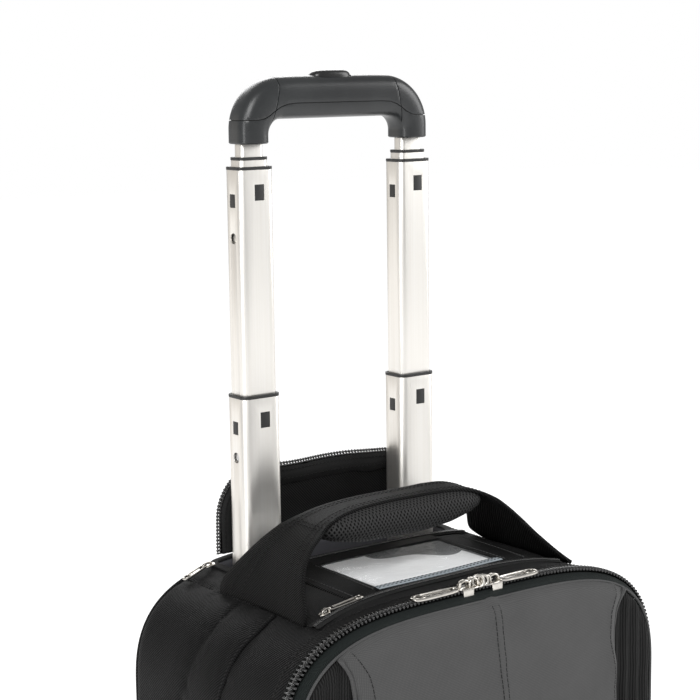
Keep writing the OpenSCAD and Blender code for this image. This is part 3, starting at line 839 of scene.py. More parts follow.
def soften_shell(obj, first):
    """Small hollows, ripples and puckers that sewn cloth has, never further out than a millimetre or two."""
    seams = []
    for side in (-1, 1):
        seams += [side_seam(STITCHED_SEAM, side)[0], side_seam(PIPED_SEAM, side)[0], shoulder_seam(side)[0]]
    sink_seams(obj, seams, 1.3 * MM, 2.4 * MM, 1.5 * MM, 13 * MM,
               lambda p: 1.0 if p.y > FRONT_RIM + 2 * MM else 0.3, first)
    def ripple(p):
        calm = min(1.0, max(0.0, (p.y - FRONT_RIM) / (20 * MM)))
        slow = noise.noise(Vector((p.x * 9, p.y * 13, p.z * 7)))
        return 1.3 * MM * calm * (slow + 0.5 * noise.noise(p * 26))

    push_out(obj, ripple, first)


def make_case_lining():
    """Loose lining inside the case."""
    count = 240
    edge = closed_outline(6.4 * MM, count)
    inner_back = BACK_Y - 10.4 * MM
    rings = []
    for i in range(25):
        y = FRONT_RIM + 1 * MM + (inner_back - FRONT_RIM - 1 * MM) * i / 24
        fold = [1 - 0.008 * max(0.0, noise.noise(Vector((p.x * 14, y * 10, p.z * 14)))) for p in edge]
        rings.append([Vector((p.x * f, y, p.z * f + 0.2 * (1 - f))) for p, f in zip(edge, fold)])
    rings += [at_y(shrunk(edge, share), inner_back) for share in (0.97, 0.85, 0.6, 0.3, 0.02)]
    obj = Pile().add(*loft(rings, True, False)).piece("case_lining", "case", "grey_lining")
    level = WELL_FLOOR - 3.2 * MM
    cut(obj, prism_mesh(well_ring(0.4 * MM), level, TOP_Z + 20 * MM, 2), *corner_cutters())
    mesh = bmesh.new()
    mesh.from_mesh(obj.data)
    across_poles = [face for face in mesh.faces if abs(face.calc_center_median().z - level) < 0.3 * MM]
    bmesh.ops.delete(mesh, geom=across_poles, context="FACES")
    mesh.to_mesh(obj.data)
    mesh.free()
    smooth_shade(obj)


def make_shell_seams():
    """Stitches and piping along the shell's seams."""
    piping, thread = Pile(), Pile()
    for side in (-1, 1):
        path, ups = side_seam(PIPED_SEAM, side, -1.2 * MM)
        piping.add(*sweep(path, ups, circle_section(1.7 * MM, 10)))
        path, ups = side_seam(PIPED_SEAM, side, -1.9 * MM)
        for along in (-3.8 * MM, 3.8 * MM):
            moved = [p + Vector((0, along, 0)) for p in path]
            stitch(thread, moved, ups)
        path, ups = side_seam(STITCHED_SEAM, side, -2.0 * MM)
        for along in (-2.4 * MM, 2.4 * MM):
            stitch(thread, [p + Vector((0, along, 0)) for p in path], ups)
        path, ups = shoulder_seam(side, -2.2 * MM)
        for along in (-2.2 * MM, 2.2 * MM):
            stitch(thread, [p + Vector((along, 0, 0)) for p in path], ups)
    path, ups = back_edge(-0.6 * MM)
    piping.add(*sweep(path, ups, circle_section(2.3 * MM, 10)))
    piping.piece("shell_piping", "case", "black_twill")
    thread.piece("shell_stitching", "case", "webbing", THREAD)


def make_bottom():
    """Padded bar across the front under the lid, and the floor panel."""
    low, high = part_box("bottom_panel")
    count, front_low = 64, low.z + 0.4 * MM
    ring = superellipse((FRONT_RIM - low.y) / 2 - 0.2 * MM, (high.z - front_low) / 2, 5, count,
                        ((FRONT_RIM + low.y) / 2, (high.z + front_low) / 2))
    half = HALF_W - 1 * MM
    stations = [(-1, 0.6), (-0.985, 0.9)]
    stations += [(-0.96 + 1.92 * i / 40, 1.0) for i in range(41)]
    stations += [(0.985, 0.9), (1, 0.6)]
    middle = Vector((0, (FRONT_RIM + low.y) / 2, (high.z + front_low) / 2))
    rings = []
    for share, size in stations:
        wave = 1 + 0.012 * math.sin(share * 37)
        rings.append([Vector((share * half, middle.y + (y - middle.y) * size,
                              middle.z + (z - middle.z) * size * wave)) for y, z in ring])
    Pile().add(*loft(rings)).piece("front_bar", "case", "black_twill", replaces=("bottom_panel",))
    floor_half = HALF_W - 4 * MM
    far_corner = (floor_half, BACK_Y - 14 * MM, low.z + 3 * MM)
    floor = block_mesh((-floor_half, FRONT_RIM - 8 * MM, low.z), far_corner)
    obj = add_piece("floor_panel", floor, "case", "black_twill", smooth=False)
    cut(obj, *corner_cutters())
    thread = Pile()
    for z in (high.z - 4 * MM, front_low + 4 * MM):
        path = [Vector((half * 0.96 * (i / 30 - 1), low.y + 0.3 * MM, z)) for i in range(61)]
        stitch(thread, path, [Vector((0, -1, 0))] * 61)
    thread.piece("bar_stitching", "case", "webbing", THREAD)


def make_well():
    """Lining of the well and its rim tape; the zip along its front edge is made with the trim."""
    rings = []
    foot = WELL_FLOOR + 2.5 * MM
    levels = 16
    for i in range(levels + 1):
        share = i / levels
        outline = [Vector((x, y, 0)) for x, y in well_ring(1.4 * MM)]
        ring = resample(outline + [outline[0]], count=121)[:-1]
        placed = []
        for p in ring:
            z = foot + (top_height(p.x) - 1.0 * MM - foot) * share
            fold = 1.5 * MM * noise.noise(Vector((p.x * 30, p.y * 30, z * 14))) * math.sin(math.pi * share)
            inward = Vector((-p.x, (WELL_FRONT + WELL_BACK) / 2 - p.y, 0)).normalized()
            placed.append(Vector((p.x, p.y, z)) + inward * (abs(fold) + 0.5 * MM * math.sin(math.pi * share)))
        rings.append(placed)
    liner = Pile().add(*loft(rings, True, False)).piece("well_lining", "case", "grey_lining",
                                                        replaces=("well_liner",))
    solid = liner.modifiers.new("solid", "SOLIDIFY")
    solid.thickness = 0.8 * MM
    solid.offset = 1
    apply_modifiers(liner)
    smooth_shade(liner)
    floor = prism_mesh(well_ring(2.4 * MM), WELL_FLOOR + 0.2 * MM, WELL_FLOOR + 1.8 * MM, 2)
    base = add_piece("well_lining_floor", floor, "case", "grey_lining", smooth=False)
    for side in (-1, 1):
        hole = [(side * POLE_X + a, POLE_Y + b) for a, b in superellipse(17.8 * MM, 13.3 * MM, 5, 32)]
        cut(base, prism_mesh(hole, WELL_FLOOR - 1 * MM, WELL_FLOOR + 4 * MM, 2))
    ring = [Vector((x, y, 0)) for x, y in well_ring(-1.0 * MM)]
    ring = resample(ring + [ring[0]], 2.5 * MM)
    path = [Vector((p.x, p.y, top_height(p.x) + 0.4 * MM)) for p in ring]
    ups = [Vector((0, 0, 1))] * len(path)
    Pile().add(*sweep(path, ups, superellipse(3.4 * MM, 1.1 * MM, 3, 12), False)).piece(
        "well_rim", "case", "black_zip")


# ---- Main zip ----

CHAIN_Y = ZIP_Y
TOOTH_PITCH = 3.3 * MM


def zip_run():
    """How far round the outline the main zip goes each side."""
    return OUTLINE_RUN - (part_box("case_zip")[0].z - BASE_Z)


def tooth_row(pile, y, toward, phase, path_run, size=(2.1, 6.2, 3.2)):
    """Teeth of one half of the chain: rounded blocks across it, each with a head for the other half."""
    along, across, high = (v * MM for v in size)
    count = int(2 * path_run / TOOTH_PITCH)
    for i in range(count):
        run = -path_run + (i + phase) * TOOTH_PITCH
        point, up = skin(run, y, 1.3 * MM)
        ahead = (skin(run + 1 * MM, y)[0] - skin(run - 1 * MM, y)[0]).normalized()
        reach = Vector((0, toward, 0))
        rings = []
        for share, grow in ((-0.5, 0.55), (-0.42, 0.95), (0.1, 0.9), (0.3, 1.15), (0.46, 0.9), (0.5, 0.5)):
            centre = point + reach * across * share
            rings.append([centre + ahead * a * grow + up * b * grow for a, b in
                          superellipse(along / 2, high / 2, 2.6, 8)])
        pile.add(*loft(rings))


def tape(name, body, profile, slot, run, step=2.6 * MM):
    """A strip round the outline: profile gives (y, height over the skin) pairs across it."""
    count = int(2 * run / step)
    rings = []
    for i in range(count + 1):
        place = -run + 2 * run * i / count
        ring = []
        for y, lift in profile:
            point, up = skin(place, FRONT_RIM, lift)
            ring.append(Vector((point.x, y, point.z)))
        rings.append(ring)
    return Pile().add(*loft(rings, True, True)).piece(name, body, slot)


def make_main_zip():
    """The main zip: teeth, tapes and the stitches beside them."""
    run = zip_run()
    for name, body, toward, phase, node in (("zip_teeth_case", "case", -1, 0.0, "case_zip"),
                                            ("zip_teeth_lid", "front_lid", 1, 0.5, "lid_zip")):
        pile = Pile()
        tooth_row(pile, CHAIN_Y - toward * 1.55 * MM, toward, phase, run)
        pile.piece(name, body, "main_zip", TEETH, replaces=(node,))
    thick = 1.2 * MM
    front = [(CHAIN_Y - 1.4 * MM, -1.0 * MM), (CHAIN_Y - 4.5 * MM, -0.9 * MM), (CHAIN_Y - 8 * MM, -3.2 * MM),
             (CHAIN_Y - 11 * MM, -5.4 * MM), (CHAIN_Y - 11 * MM, -7 * MM), (CHAIN_Y - 5 * MM, -3.5 * MM),
             (CHAIN_Y - 1.4 * MM, -1.0 * MM - thick)]
    tape("zip_tape_lid", "front_lid", front, "main_zip", run + 2 * MM)
    rear = [(CHAIN_Y + 1.4 * MM, -1.9 * MM), (CHAIN_Y + 1.4 * MM, -1.1 * MM), (CHAIN_Y + 4.0 * MM, -1.0 * MM),
            (CHAIN_Y + 5.0 * MM, 0.4 * MM), (CHAIN_Y + 12 * MM, 0.5 * MM), (CHAIN_Y + 18 * MM, 0.3 * MM),
            (CHAIN_Y + 18.4 * MM, -0.6 * MM), (CHAIN_Y + 6 * MM, -1.6 * MM)]
    tape("zip_tape_case", "case", rear, "trim_twill", run + 2 * MM)
    thread = Pile()
    for y, lift in ((CHAIN_Y + 6.4 * MM, 0.5 * MM), (CHAIN_Y + 16.6 * MM, 0.4 * MM)):
        path, ups = skin_path([(-run, y), (run, y)], lift)
        stitch(thread, path, ups)
    thread.piece("zip_stitching", "case", "webbing", THREAD)


# ---- Front lid and pocket ----

POCKET_HALF = 121 * MM
SEAM_INSET = 5.6 * MM
# How far forward the pocket's face stands at each height
POCKET_FACE = [(0.046, -0.1145), (0.052, -0.1160), (0.070, FRONT_Y), (0.330, FRONT_Y), (0.341, -0.1160),
               (0.359, -0.1110), (0.372, -0.1085), (0.384, -0.1068), (0.392, -0.1056), (0.3965, -0.1040),
               (0.400, -0.1005), (0.4025, -0.0970)]


def pocket_half(z):
    """Half of the pocket's width at each height."""
    return POCKET_HALF + 17 * MM * smooth_between(z, [(0.355, 0.0), (0.372, 0.2), (0.388, 0.7), (0.398, 1.0)])


def pocket_point(p, q, back=None):
    """Point on the pocket's front for shares across, -1 to 1, and up, 0 to 1."""
    x = p * (POCKET_HALF + 8 * MM)
    low = LID_LOW + 1.5 * MM
    z = low + q * (top_height(x, SEAM_INSET) - low)
    half = pocket_half(z)
    x = p * half
    z = low + q * (top_height(x, SEAM_INSET) - low)
    if back is not None:
        return Vector((x, back, z))
    drop = TOP_Z - SEAM_INSET - top_height(x, SEAM_INSET)
    y = smooth_between(z + drop * smooth_between(z, [(0.33, 0.0), (0.38, 1.0)]), POCKET_FACE)
    edge = 11 * MM
    over = max(0.0, abs(x) - (half - edge)) / edge
    y += (1 - math.sqrt(max(0.0, 1 - over * over))) * max(0.0, (-0.0995 - y))
    return Vector((x, y, z))


def share_steps(count):
    """Shares from -1 to 1, closer together at the ends."""
    return [math.sin(math.pi / 2 * (2 * i / count - 1)) for i in range(count + 1)]


def make_pocket():
    """The front pocket: a stuffed panel with a middle seam and two fold lines."""
    columns, rows = 64, 80
    across = share_steps(columns)
    rings = []
    for i in range(rows + 1):
        q = (1 - math.cos(math.pi * i / rows)) / 2
        front = [pocket_point(p, q) for p in across]
        back = [pocket_point(p, q, -0.0985) for p in reversed(across)]
        rings.append(front + back)
    obj = Pile().add(*loft(rings)).piece("pocket_cushion", "front_lid", "front_nylon",
                                         replaces=("pocket_panel",))
    inflate(obj, None, 3.0, 2.2 * MM, lambda p: smooth_between(p.z, [(0.35, 1.0), (0.385, 0.0)]))
    smooth = obj.modifiers.new("smooth", "SUBSURF")
    smooth.levels = smooth.render_levels = 1
    apply_modifiers(obj)
    seam = [pocket_point(0.018 + 0.012 * (i / 60) ** 2, 1 - i / 60) for i in range(61)]
    edges = [[pocket_point(side * 0.915, i / 60) for i in range(61)] for side in (-1, 1)]
    sink_seams(obj, [seam], 1.1 * MM, 4.2 * MM, 0.8 * MM, 18 * MM)
    sink_seams(obj, edges, 0.6 * MM, 2.2 * MM, 0.3 * MM, 12 * MM)
    for vertex in obj.data.vertices:
        p = vertex.co
        low_down = smooth_between(p.z, [(0.05, 1.0), (0.34, 0.8), (0.39, 0.1)])
        ripple = noise.noise(Vector((p.x * 8, 0, p.z * 6)))
        ripple += 0.35 * noise.noise(Vector((p.x * 22, 3, p.z * 15)))
        if p.y < -0.1:
            vertex.co.y = p.y + 1.3 * MM * ripple * low_down
    smooth_shade(obj)
    thread = Pile()
    for aside in (-2.6 * MM, 2.6 * MM):
        stitch_on(thread, [p + Vector((aside, 0, 0)) for p in seam], obj)
    for line in edges:
        stitch_on(thread, line, obj)
    thread.piece("pocket_stitching", "front_lid", "webbing", THREAD)


def stitch_on(pile, line, obj, **sizes):
    """Stitches that lie on a finished piece, whatever its surface does."""
    tree = tree_of(obj)
    points, ups = [], []
    for p in resample(line, 2.0 * MM):
        place, out, _, _ = tree.find_nearest(p)
        if place is not None:
            points.append(place)
            ups.append(out)
    if len(points) > 2:
        stitch(pile, points, ups, **sizes)


TREES = {}


def tree_of(obj):
    """Search tree of a finished piece's faces, kept for the next line of stitches."""
    if obj.name not in TREES:
        made = bmesh.new()
        made.from_mesh(obj.data)
        TREES[obj.name] = BVHTree.FromBMesh(made)
        made.free()
    return TREES[obj.name]


def make_lid():
    """The lid behind the pocket: its ribbed side gussets, piped edges and inside lining."""
    count = 420
    low = LID_LOW + 1 * MM

    def ring(inset, y):
        lowest = low + (inset - 2 * MM) * 0.2
        return [Vector((p.x, y, max(p.z, lowest))) for p in closed_outline(inset, count)]

    inner = ring(7 * MM, CHAIN_Y - 2.2 * MM)
    rings = [shrunk(inner, share) for share in (0.05, 0.35, 0.65, 0.9, 1.0)]
    rings += [ring(3.2 * MM, CHAIN_Y - 2.6 * MM), ring(4.6 * MM, CHAIN_Y - 6 * MM), ring(6.2 * MM, -0.0955)]
    rings += [ring(SEAM_INSET + 1.0 * MM, -0.0972), ring(8.5 * MM, -0.0992), ring(12 * MM, -0.1)]
    rings += [ring(inset * MM, -0.1002) for inset in range(15, 58, 2)]
    outer = ring(60 * MM, -0.0995)
    rings += [shrunk(outer, share) for share in (1.0, 0.75, 0.5, 0.25, 0.05)]
    obj = Pile().add(*loft(rings)).piece("lid_panel_cloth", "front_lid", "ribbed_nylon",
                                         replaces=("lid_panel", "pocket_bellows"))
    for vertex in obj.data.vertices:
        p = vertex.co
        if p.y < -0.0985 and abs(p.x) > POCKET_HALF - 12 * MM:
            fold = math.sin((abs(p.x) - 0.118) * 2 * math.pi / (11 * MM) + 0.8 * noise.noise(p * 18))
            crease = noise.noise(Vector((p.x * 20, 0, p.z * 38)))
            p.y += fold * 1.3 * MM + crease * 1.2 * MM
    obj.data.update()
    lining = ring(9 * MM, CHAIN_Y - 1.4 * MM)
    folds = [[p + Vector((0, 0.9 * MM * noise.noise(p * 22), 0)) for p in shrunk(lining, share)]
             for share in (1.0, 0.98, 0.94, 0.88, 0.8, 0.7, 0.58, 0.45, 0.3, 0.15, 0.02)]
    Pile().add(*loft(folds, True, False)).piece("lid_lining", "front_lid", "grey_lining")
    piping = Pile()
    for side in (-1, 1):
        line = [pocket_point(side * 0.997, i / 80) for i in range(81)]
        line = [Vector((p.x + side * 0.6 * MM, -0.1015, p.z)) for p in resample(line, 3 * MM)]
        piping.add(*sweep(line, [Vector((side, 0, 0))] * len(line), circle_section(1.8 * MM, 10)))
    piping.piece("pocket_piping", "front_lid", "front_nylon")
    edge = Pile()
    run = zip_run()
    path = [Vector((p.x, -0.0976, p.z)) for p in
            (skin(-run + 2 * run * i / 400, FRONT_RIM, -SEAM_INSET)[0] for i in range(401))]
    edge.add(*sweep(path, [Vector((0, -1, 0))] * len(path), circle_section(1.0 * MM, 8)))
    edge.piece("lid_seam_cord", "front_lid", "front_nylon")


# ---- Window, trim and small zips on the top ----


def top_place(x, y, lift=0.0):
    """Point above the case's top, and the way the top faces there."""
    point, out = skin(math.copysign(run_at_x(abs(x)), x if x else 1.0), y, lift)
    return Vector((x, point.y, top_height(x) + lift)), out


def top_patch(name, quad, lift, thick, slot, material=None, wave=None, replaces=(), edge=1.5 * MM):
    """A thin sheet on the top over a plan of four corners in mm, front left first, edges pressed down."""
    columns, rows = 44, 32
    a, b, c, d = (Vector((x * MM, y * MM, 0)) for x, y in quad)
    span, deep = (b - a).length, (d - a).length
    rings = []
    for j in range(rows + 1):
        v = j / rows
        over, under = [], []
        for i in range(columns + 1):
            u = i / columns
            spot = a.lerp(b, u).lerp(d.lerp(c, u), v)
            inward = min(u * span, (1 - u) * span, v * deep, (1 - v) * deep)
            rise = thick * min(1.0, inward / edge) ** 0.5
            extra = wave(spot) * min(1.0, inward / (12 * MM)) if wave else 0.0
            over.append(top_place(spot.x, spot.y, lift + rise + extra)[0])
            under.append(top_place(spot.x, spot.y, lift - 0.5 * MM)[0])
        rings.append(over + under[::-1])
    return Pile().add(*loft(rings)).piece(name, "case", slot, material, replaces)


def top_line(corners, lift, step=2.5 * MM, rounds=3):
    """A smooth path over the top through (x, y) corners in millimetres."""
    points = [Vector((x * MM, y * MM, 0)) for x, y in corners]
    for _ in range(rounds):
        made = [points[0]]
        for a, b in zip(points, points[1:]):
            made += [a.lerp(b, 0.25), a.lerp(b, 0.75)]
        made.append(points[-1])
        points = made
    both = [top_place(p.x, p.y, lift) for p in resample(points, step)]
    return [b[0] for b in both], [b[1] for b in both]


def small_zip(name, corners, lift=0.4 * MM, width=11 * MM, replaces=()):
    """A thin coil zip sewn into the top: its tape, its coil and two rows of stitches."""
    path, ups = top_line(corners, lift)
    tape_pile, coil, thread = Pile(), Pile(), Pile()
    tape_pile.add(*sweep(path, ups, band_section(width, 0.8 * MM)))
    for side in (-1, 1):
        row = [p + up * 1.1 * MM + t.cross(up).normalized() * side * 0.85 * MM
               for p, up, t in zip(path, ups, tangents(path))]
        coil_row(coil, row, Vector((0, 0, 1)), 0.95 * MM, 2.2 * MM)
        edge = [p + t.cross(up).normalized() * side * (width / 2 - 1.4 * MM)
                for p, up, t in zip(path, ups, tangents(path))]
        stitch(thread, edge, ups, lift=0.9 * MM)
    tape_pile.piece(name + "_tape", "case", "black_zip", replaces=replaces)
    coil.piece(name + "_coil", "case", "black_zip", TEETH)
    thread.piece(name + "_stitching", "case", "webbing", THREAD)


def make_window():
    """A clear sheet over a pale card, sewn down along a pale binding at its front."""
    quad = ((-55, -41), (63, -37), (65, 37), (-55, 39))

    def crumple(p):
        fold = noise.noise(Vector((p.x * 14 + 7, p.y * 42, 1)))
        return max(0.0, 1.5 * MM * (0.55 + fold) + 0.35 * MM * noise.noise(p * 60))

    card = ((-52, -36), (60, -33), (62, 34), (-52, 36))
    top_patch("window_card", card, 0.1 * MM, 0.4 * MM, "grey_lining", CARD)
    top_patch("window_vinyl", quad, 0.3 * MM, 0.5 * MM, "clear_vinyl", None, crumple, ("window",))
    line, ups = top_line([(-56, -41.5), (-20, -42.5), (20, -41.5), (64, -37.5)], 0.9 * MM)
    edge, thread = Pile(), Pile()
    edge.add(*sweep(line, ups, band_section(7 * MM, 0.9 * MM)))
    edge.piece("window_binding", "case", "trim_twill", BINDING)
    for along in (-1.6 * MM, 1.8 * MM):
        stitch(thread, [p + Vector((0, along, 0)) for p in line], ups, lift=1.0 * MM)
    thread.piece("window_stitching", "case", "webbing", THREAD)


def make_trim():
    """Twill strips beside the window, the black strip behind it, and the small zips."""
    def rough_cloth(p):
        return 0.4 * MM * noise.noise(p * 45)

    left = ((-86, -46), (-55, -43), (-53, 44), (-84, 44))
    right = ((63, -41), (92, -44), (92, 44), (62, 44))
    back = ((-60, 32), (68, 34), (68, 48), (-60, 48))
    top_patch("trim_left", left, 0.3 * MM, 1.2 * MM, "trim_twill", None, rough_cloth, ("window_trim",))
    top_patch("trim_right", right, 0.3 * MM, 1.2 * MM, "trim_twill", None, rough_cloth)
    top_patch("trim_back", back, 0.5 * MM, 1.6 * MM, "black_twill", None, rough_cloth)
    thread = Pile()
    for corners in ([(-60, -42), (-58, 0), (-57, 42)], [(67, -40), (67, 0), (66, 42)],
                    [(84, -43), (87, -10), (88, 42)], [(-80, -44), (-79, 0), (-79, 42)]):
        line, ups = top_line(corners, 1.6 * MM)
        stitch(thread, line, ups)
    thread.piece("trim_stitching", "case", "webbing", PALE_THREAD)
    window_line = [(-125, -60), (-100, -57), (-74, -53), (-30, -50.5), (7, -50), (47, -48), (84, -50),
                   (108, -56)]
    well_line = [(-112, 53), (-80, 51), (-20, 51), (40, 51), (80, 51), (106, 54)]
    small_zip("window_zip", window_line, 0.2 * MM, replaces=("window_zip",))
    small_zip("well_zip", well_line, 0.6 * MM, replaces=("well_zip",))


# ---- Carry handle ----

# The right end of the strap leans in: places as (distance from the middle, height)
LEANING_END = [(0.030, 0.4620), (0.050, 0.4605), (0.064, 0.4570), (0.074, 0.4520), (0.083, 0.4445),
               (0.092, 0.4340), (0.101, 0.4210), (0.111, 0.4080), (0.119, 0.4010), (0.1255, 0.3965)]
STRAP_END = 125.5 * MM
STRAP_FOOT_Z = 396.5 * MM
STRAP_RISE = 65.5 * MM


def strap_centre(x):
    """Height of the strap's underside at each distance from the middle."""
    if x > LEANING_END[0][0]:
        return smooth_between(x, LEANING_END)
    return STRAP_FOOT_Z + STRAP_RISE * (1 - min(1.0, -min(x, 0) / STRAP_END) ** 3.8) ** 0.6


# How far the strap reaches to the front and to the back at each height
STRAP_EDGES = [(0.398, -0.0515, 0.0555), (0.406, -0.0505, 0.0545), (0.424, -0.037, 0.041),
               (0.438, -0.028, 0.032), (0.450, -0.0225, 0.0265), (0.470, -0.0215, 0.0255)]
BAND_MIDDLE = 2 * MM
PAD_MIDDLE = -8 * MM
PAD_HALF_LENGTH = 80 * MM
PAD_HALF_WIDTH = 24 * MM
PAD_HALF_DEPTH = 13.6 * MM


def pad_share(x, half=PAD_HALF_LENGTH + 4 * MM):
    """1 over the middle of the pad, falling to 0 at its ends."""
    return max(0.0, 1 - (abs(x - PAD_MIDDLE) / half) ** 3) ** 0.7


def strap_path(count=180):
    """Middle line of the carry strap, foot to foot, and the way it faces."""
    dense = []
    for i in range(601):
        t = i / 600
        x = -STRAP_END * math.cos(math.pi / 2 * t) if t < 1 else 0.0
        dense.append(Vector((x, 0, strap_centre(x))))
    dense += [Vector((LEANING_END[-1][0] * i / 300, 0, strap_centre(LEANING_END[-1][0] * i / 300)))
              for i in range(1, 301)]
    path = resample(dense, count=count)
    return path, [Vector((-t.z, 0, t.x)) for t in tangents(path)]


def make_carry():
    """The webbing strap with its wide feet, its rows of stitches and its pad."""
    path, ups = strap_path()
    front = [(z, a) for z, a, b in STRAP_EDGES]
    rear = [(z, b) for z, a, b in STRAP_EDGES]
    rings = []
    lines = {2: [], 4: [], 12: [], 14: []}
    crossings = []
    passed = -1.0
    for p, up in zip(path, ups):
        over_pad = pad_share(p.x)
        narrow = 0.45 * over_pad
        lo, hi = smooth_between(p.z, front), smooth_between(p.z, rear)
        lo, hi = lo + (BAND_MIDDLE - lo) * narrow, hi + (BAND_MIDDLE - hi) * narrow
        foot = smooth_between(p.z, [(0.40, 1.0), (0.455, 0.0)])
        ring = []
        for i in range(17):
            share = 2 * i / 16 - 1
            y = lo + (hi - lo) * i / 16
            curl = 2.6 * MM * share * share * foot + 0.25 * MM * noise.noise(Vector((p.x * 25, y * 40, 2)))
            ring.append(Vector((p.x, y, p.z)) + up * (curl + 0.6 * MM * over_pad))
        for i, line in lines.items():
            line.append(ring[i])
        if any(passed < x <= p.x for x in (-88 * MM, -85.5 * MM)):
            crossings.append((list(ring[1:16]), up))
        passed = p.x
        ring += [q - up * 2.6 * MM for q in reversed(ring)]
        rings.append(ring)
    Pile().add(*loft(rings)).piece("carry_strap_webbing", "case", "webbing", replaces=("carry_strap",))
    thread = Pile()
    for line in lines.values():
        stitch(thread, line, ups, lift=0.15 * MM)
    for ring, up in crossings:
        stitch(thread, ring, [up] * len(ring), lift=0.25 * MM)
    thread.piece("carry_strap_stitching", "case", "webbing", THREAD)
    make_carry_pad()


def make_carry_pad():
    """Padded sleeve of air mesh round the strap, deepest in its middle."""
    stations = 90
    rings = []
    for i in range(stations + 1):
        share = math.sin(math.pi / 2 * (2 * i / stations - 1))
        x = PAD_MIDDLE + share * PAD_HALF_LENGTH
        width = PAD_HALF_WIDTH * max(0.0, 1 - abs(share) ** 7) ** 0.5 + 0.5 * MM
        thick = PAD_HALF_DEPTH * max(0.0, 1 - abs(share) ** 3) ** 0.7 + 0.9 * MM
        middle = strap_centre(x) - 0.3 * MM - thick
        ring = [Vector((x, BAND_MIDDLE + a, middle + b)) for a, b in superellipse(width, thick, 2.5, 44)]
        rings.append(ring)
    obj = Pile().add(*loft(rings)).piece("carry_grip_pad", "case", "air_mesh", replaces=("carry_pad",))
    inflate(obj, 3 * MM, 4.0, 1.2 * MM)
    push_out(obj, lambda p: 0.4 * MM * noise.noise(p * 60))


# ---- Flap over the well ----


def make_flap():
    """Flap that swings back over the well: cloth, lining, hem and the coil zip round its edge."""
    low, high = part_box("flap_panel")
    middle_y = (low.y + high.y) / 2
    half, top, foot = high.x, high.z, low.z
    corner = 33 * MM

    def edge_path(inset, step=2.5 * MM):
        r = corner - inset
        points = [Vector((inset - half, 0, foot))]
        for i in range(13):
            a = math.radians(180 - 90 * i / 12)
            points.append(Vector((corner - half + r * math.cos(a), 0, top - corner + r * math.sin(a))))
        points += [Vector((-p.x, 0, p.z)) for p in reversed(points)]
        return resample(points, step)

    def bend(p, lift=0.0):
        """Where a flat point of the flap ends up: its right corner curls forward and its face is wavy."""
        share = min(1.0, max(0.0, (p.z - foot) / (top - foot)))
        across = p.x / half
        corner_curl = max(0.0, across - 0.25) ** 1.5 * share ** 2
        wave = 1.6 * MM * math.sin(across * 8 + 1) * share
        wave += 1.0 * MM * noise.noise(Vector((p.x * 25, 4, p.z * 25)))
        y = middle_y - 10 * MM * corner_curl + wave * share + lift
        return Vector((p.x, y, p.z - 9 * MM * corner_curl))

    count = 81
    rings = []
    for layer, lift in ((0, -1.5 * MM), (1, 1.5 * MM)):
        for level in (range(0, 19) if layer == 0 else range(18, -1, -1)):
            ring = []
            for p in resample(edge_path(1.5 * MM), count=count):
                q = Vector((p.x * 0.15, 0, foot)).lerp(p, level / 18)
                crinkle = 1.1 * MM * noise.noise(Vector((q.x * 34, layer * 9, q.z * 52)))
                ring.append(bend(q, lift + crinkle))
            rings.append(ring)
    cloth = Pile().add(*loft(rings, False, False)).piece("flap_cloth", "flap", "black_twill",
                                                         replaces=("flap_panel",))
    hem, coil, thread = Pile(), Pile(), Pile()
    flat = edge_path(8 * MM)
    path = [bend(p) for p in flat]
    outward = [Vector((0, -1, 0))] * len(path)

    def hem_section(share):
        """The hem's inner edge wanders, as a turned-in seam allowance does."""
        inner = 7 * MM + 2.2 * MM * noise.noise(Vector((share * 14, 2, 5)))
        return [(-6.5 * MM, -2.6 * MM), (inner, -2.4 * MM), (inner + 0.6 * MM, 0), (inner, 2.4 * MM),
                (-6.5 * MM, 2.6 * MM)]

    hem.add(*sweep(path, outward, hem_section))
    hem.piece("flap_hem", "flap", "black_zip")
    for at in (0.6 * MM, -1.6 * MM):
        coil_row(coil, [bend(p) for p in edge_path(at)], Vector((0, -1, 0)), 1.25 * MM, 2.7 * MM)
    coil.piece("flap_coil", "flap", "black_zip", TEETH, ("flap_zip",))
    for inset in (11 * MM, 4 * MM):
        line = [bend(p, -2.7 * MM) for p in edge_path(inset)]
        stitch(thread, line, [Vector((0, -1, 0))] * len(line))
    thread.piece("flap_stitching", "flap", "webbing", THREAD)


# ---- Sliders and pull tabs ----

JOINTS = {joint["name"]: joint for joint in frame["joints"]}


def hinge_place(joint):
    """A joint's place as a vector."""
    return Vector(JOINTS[joint]["pos_m"])


def shade_by_angle(obj, angle=35):
    """Smooth shading, with edges sharper than the angle left crisp."""
    mesh = obj.data
    mesh.polygons.foreach_set("use_smooth", [True] * len(mesh.polygons))
    made = bmesh.new()
    made.from_mesh(mesh)
    for edge in made.edges:
        edge.smooth = len(edge.link_faces) < 2 or edge.calc_face_angle() < math.radians(angle)
    made.to_mesh(mesh)
    made.free()
    return obj


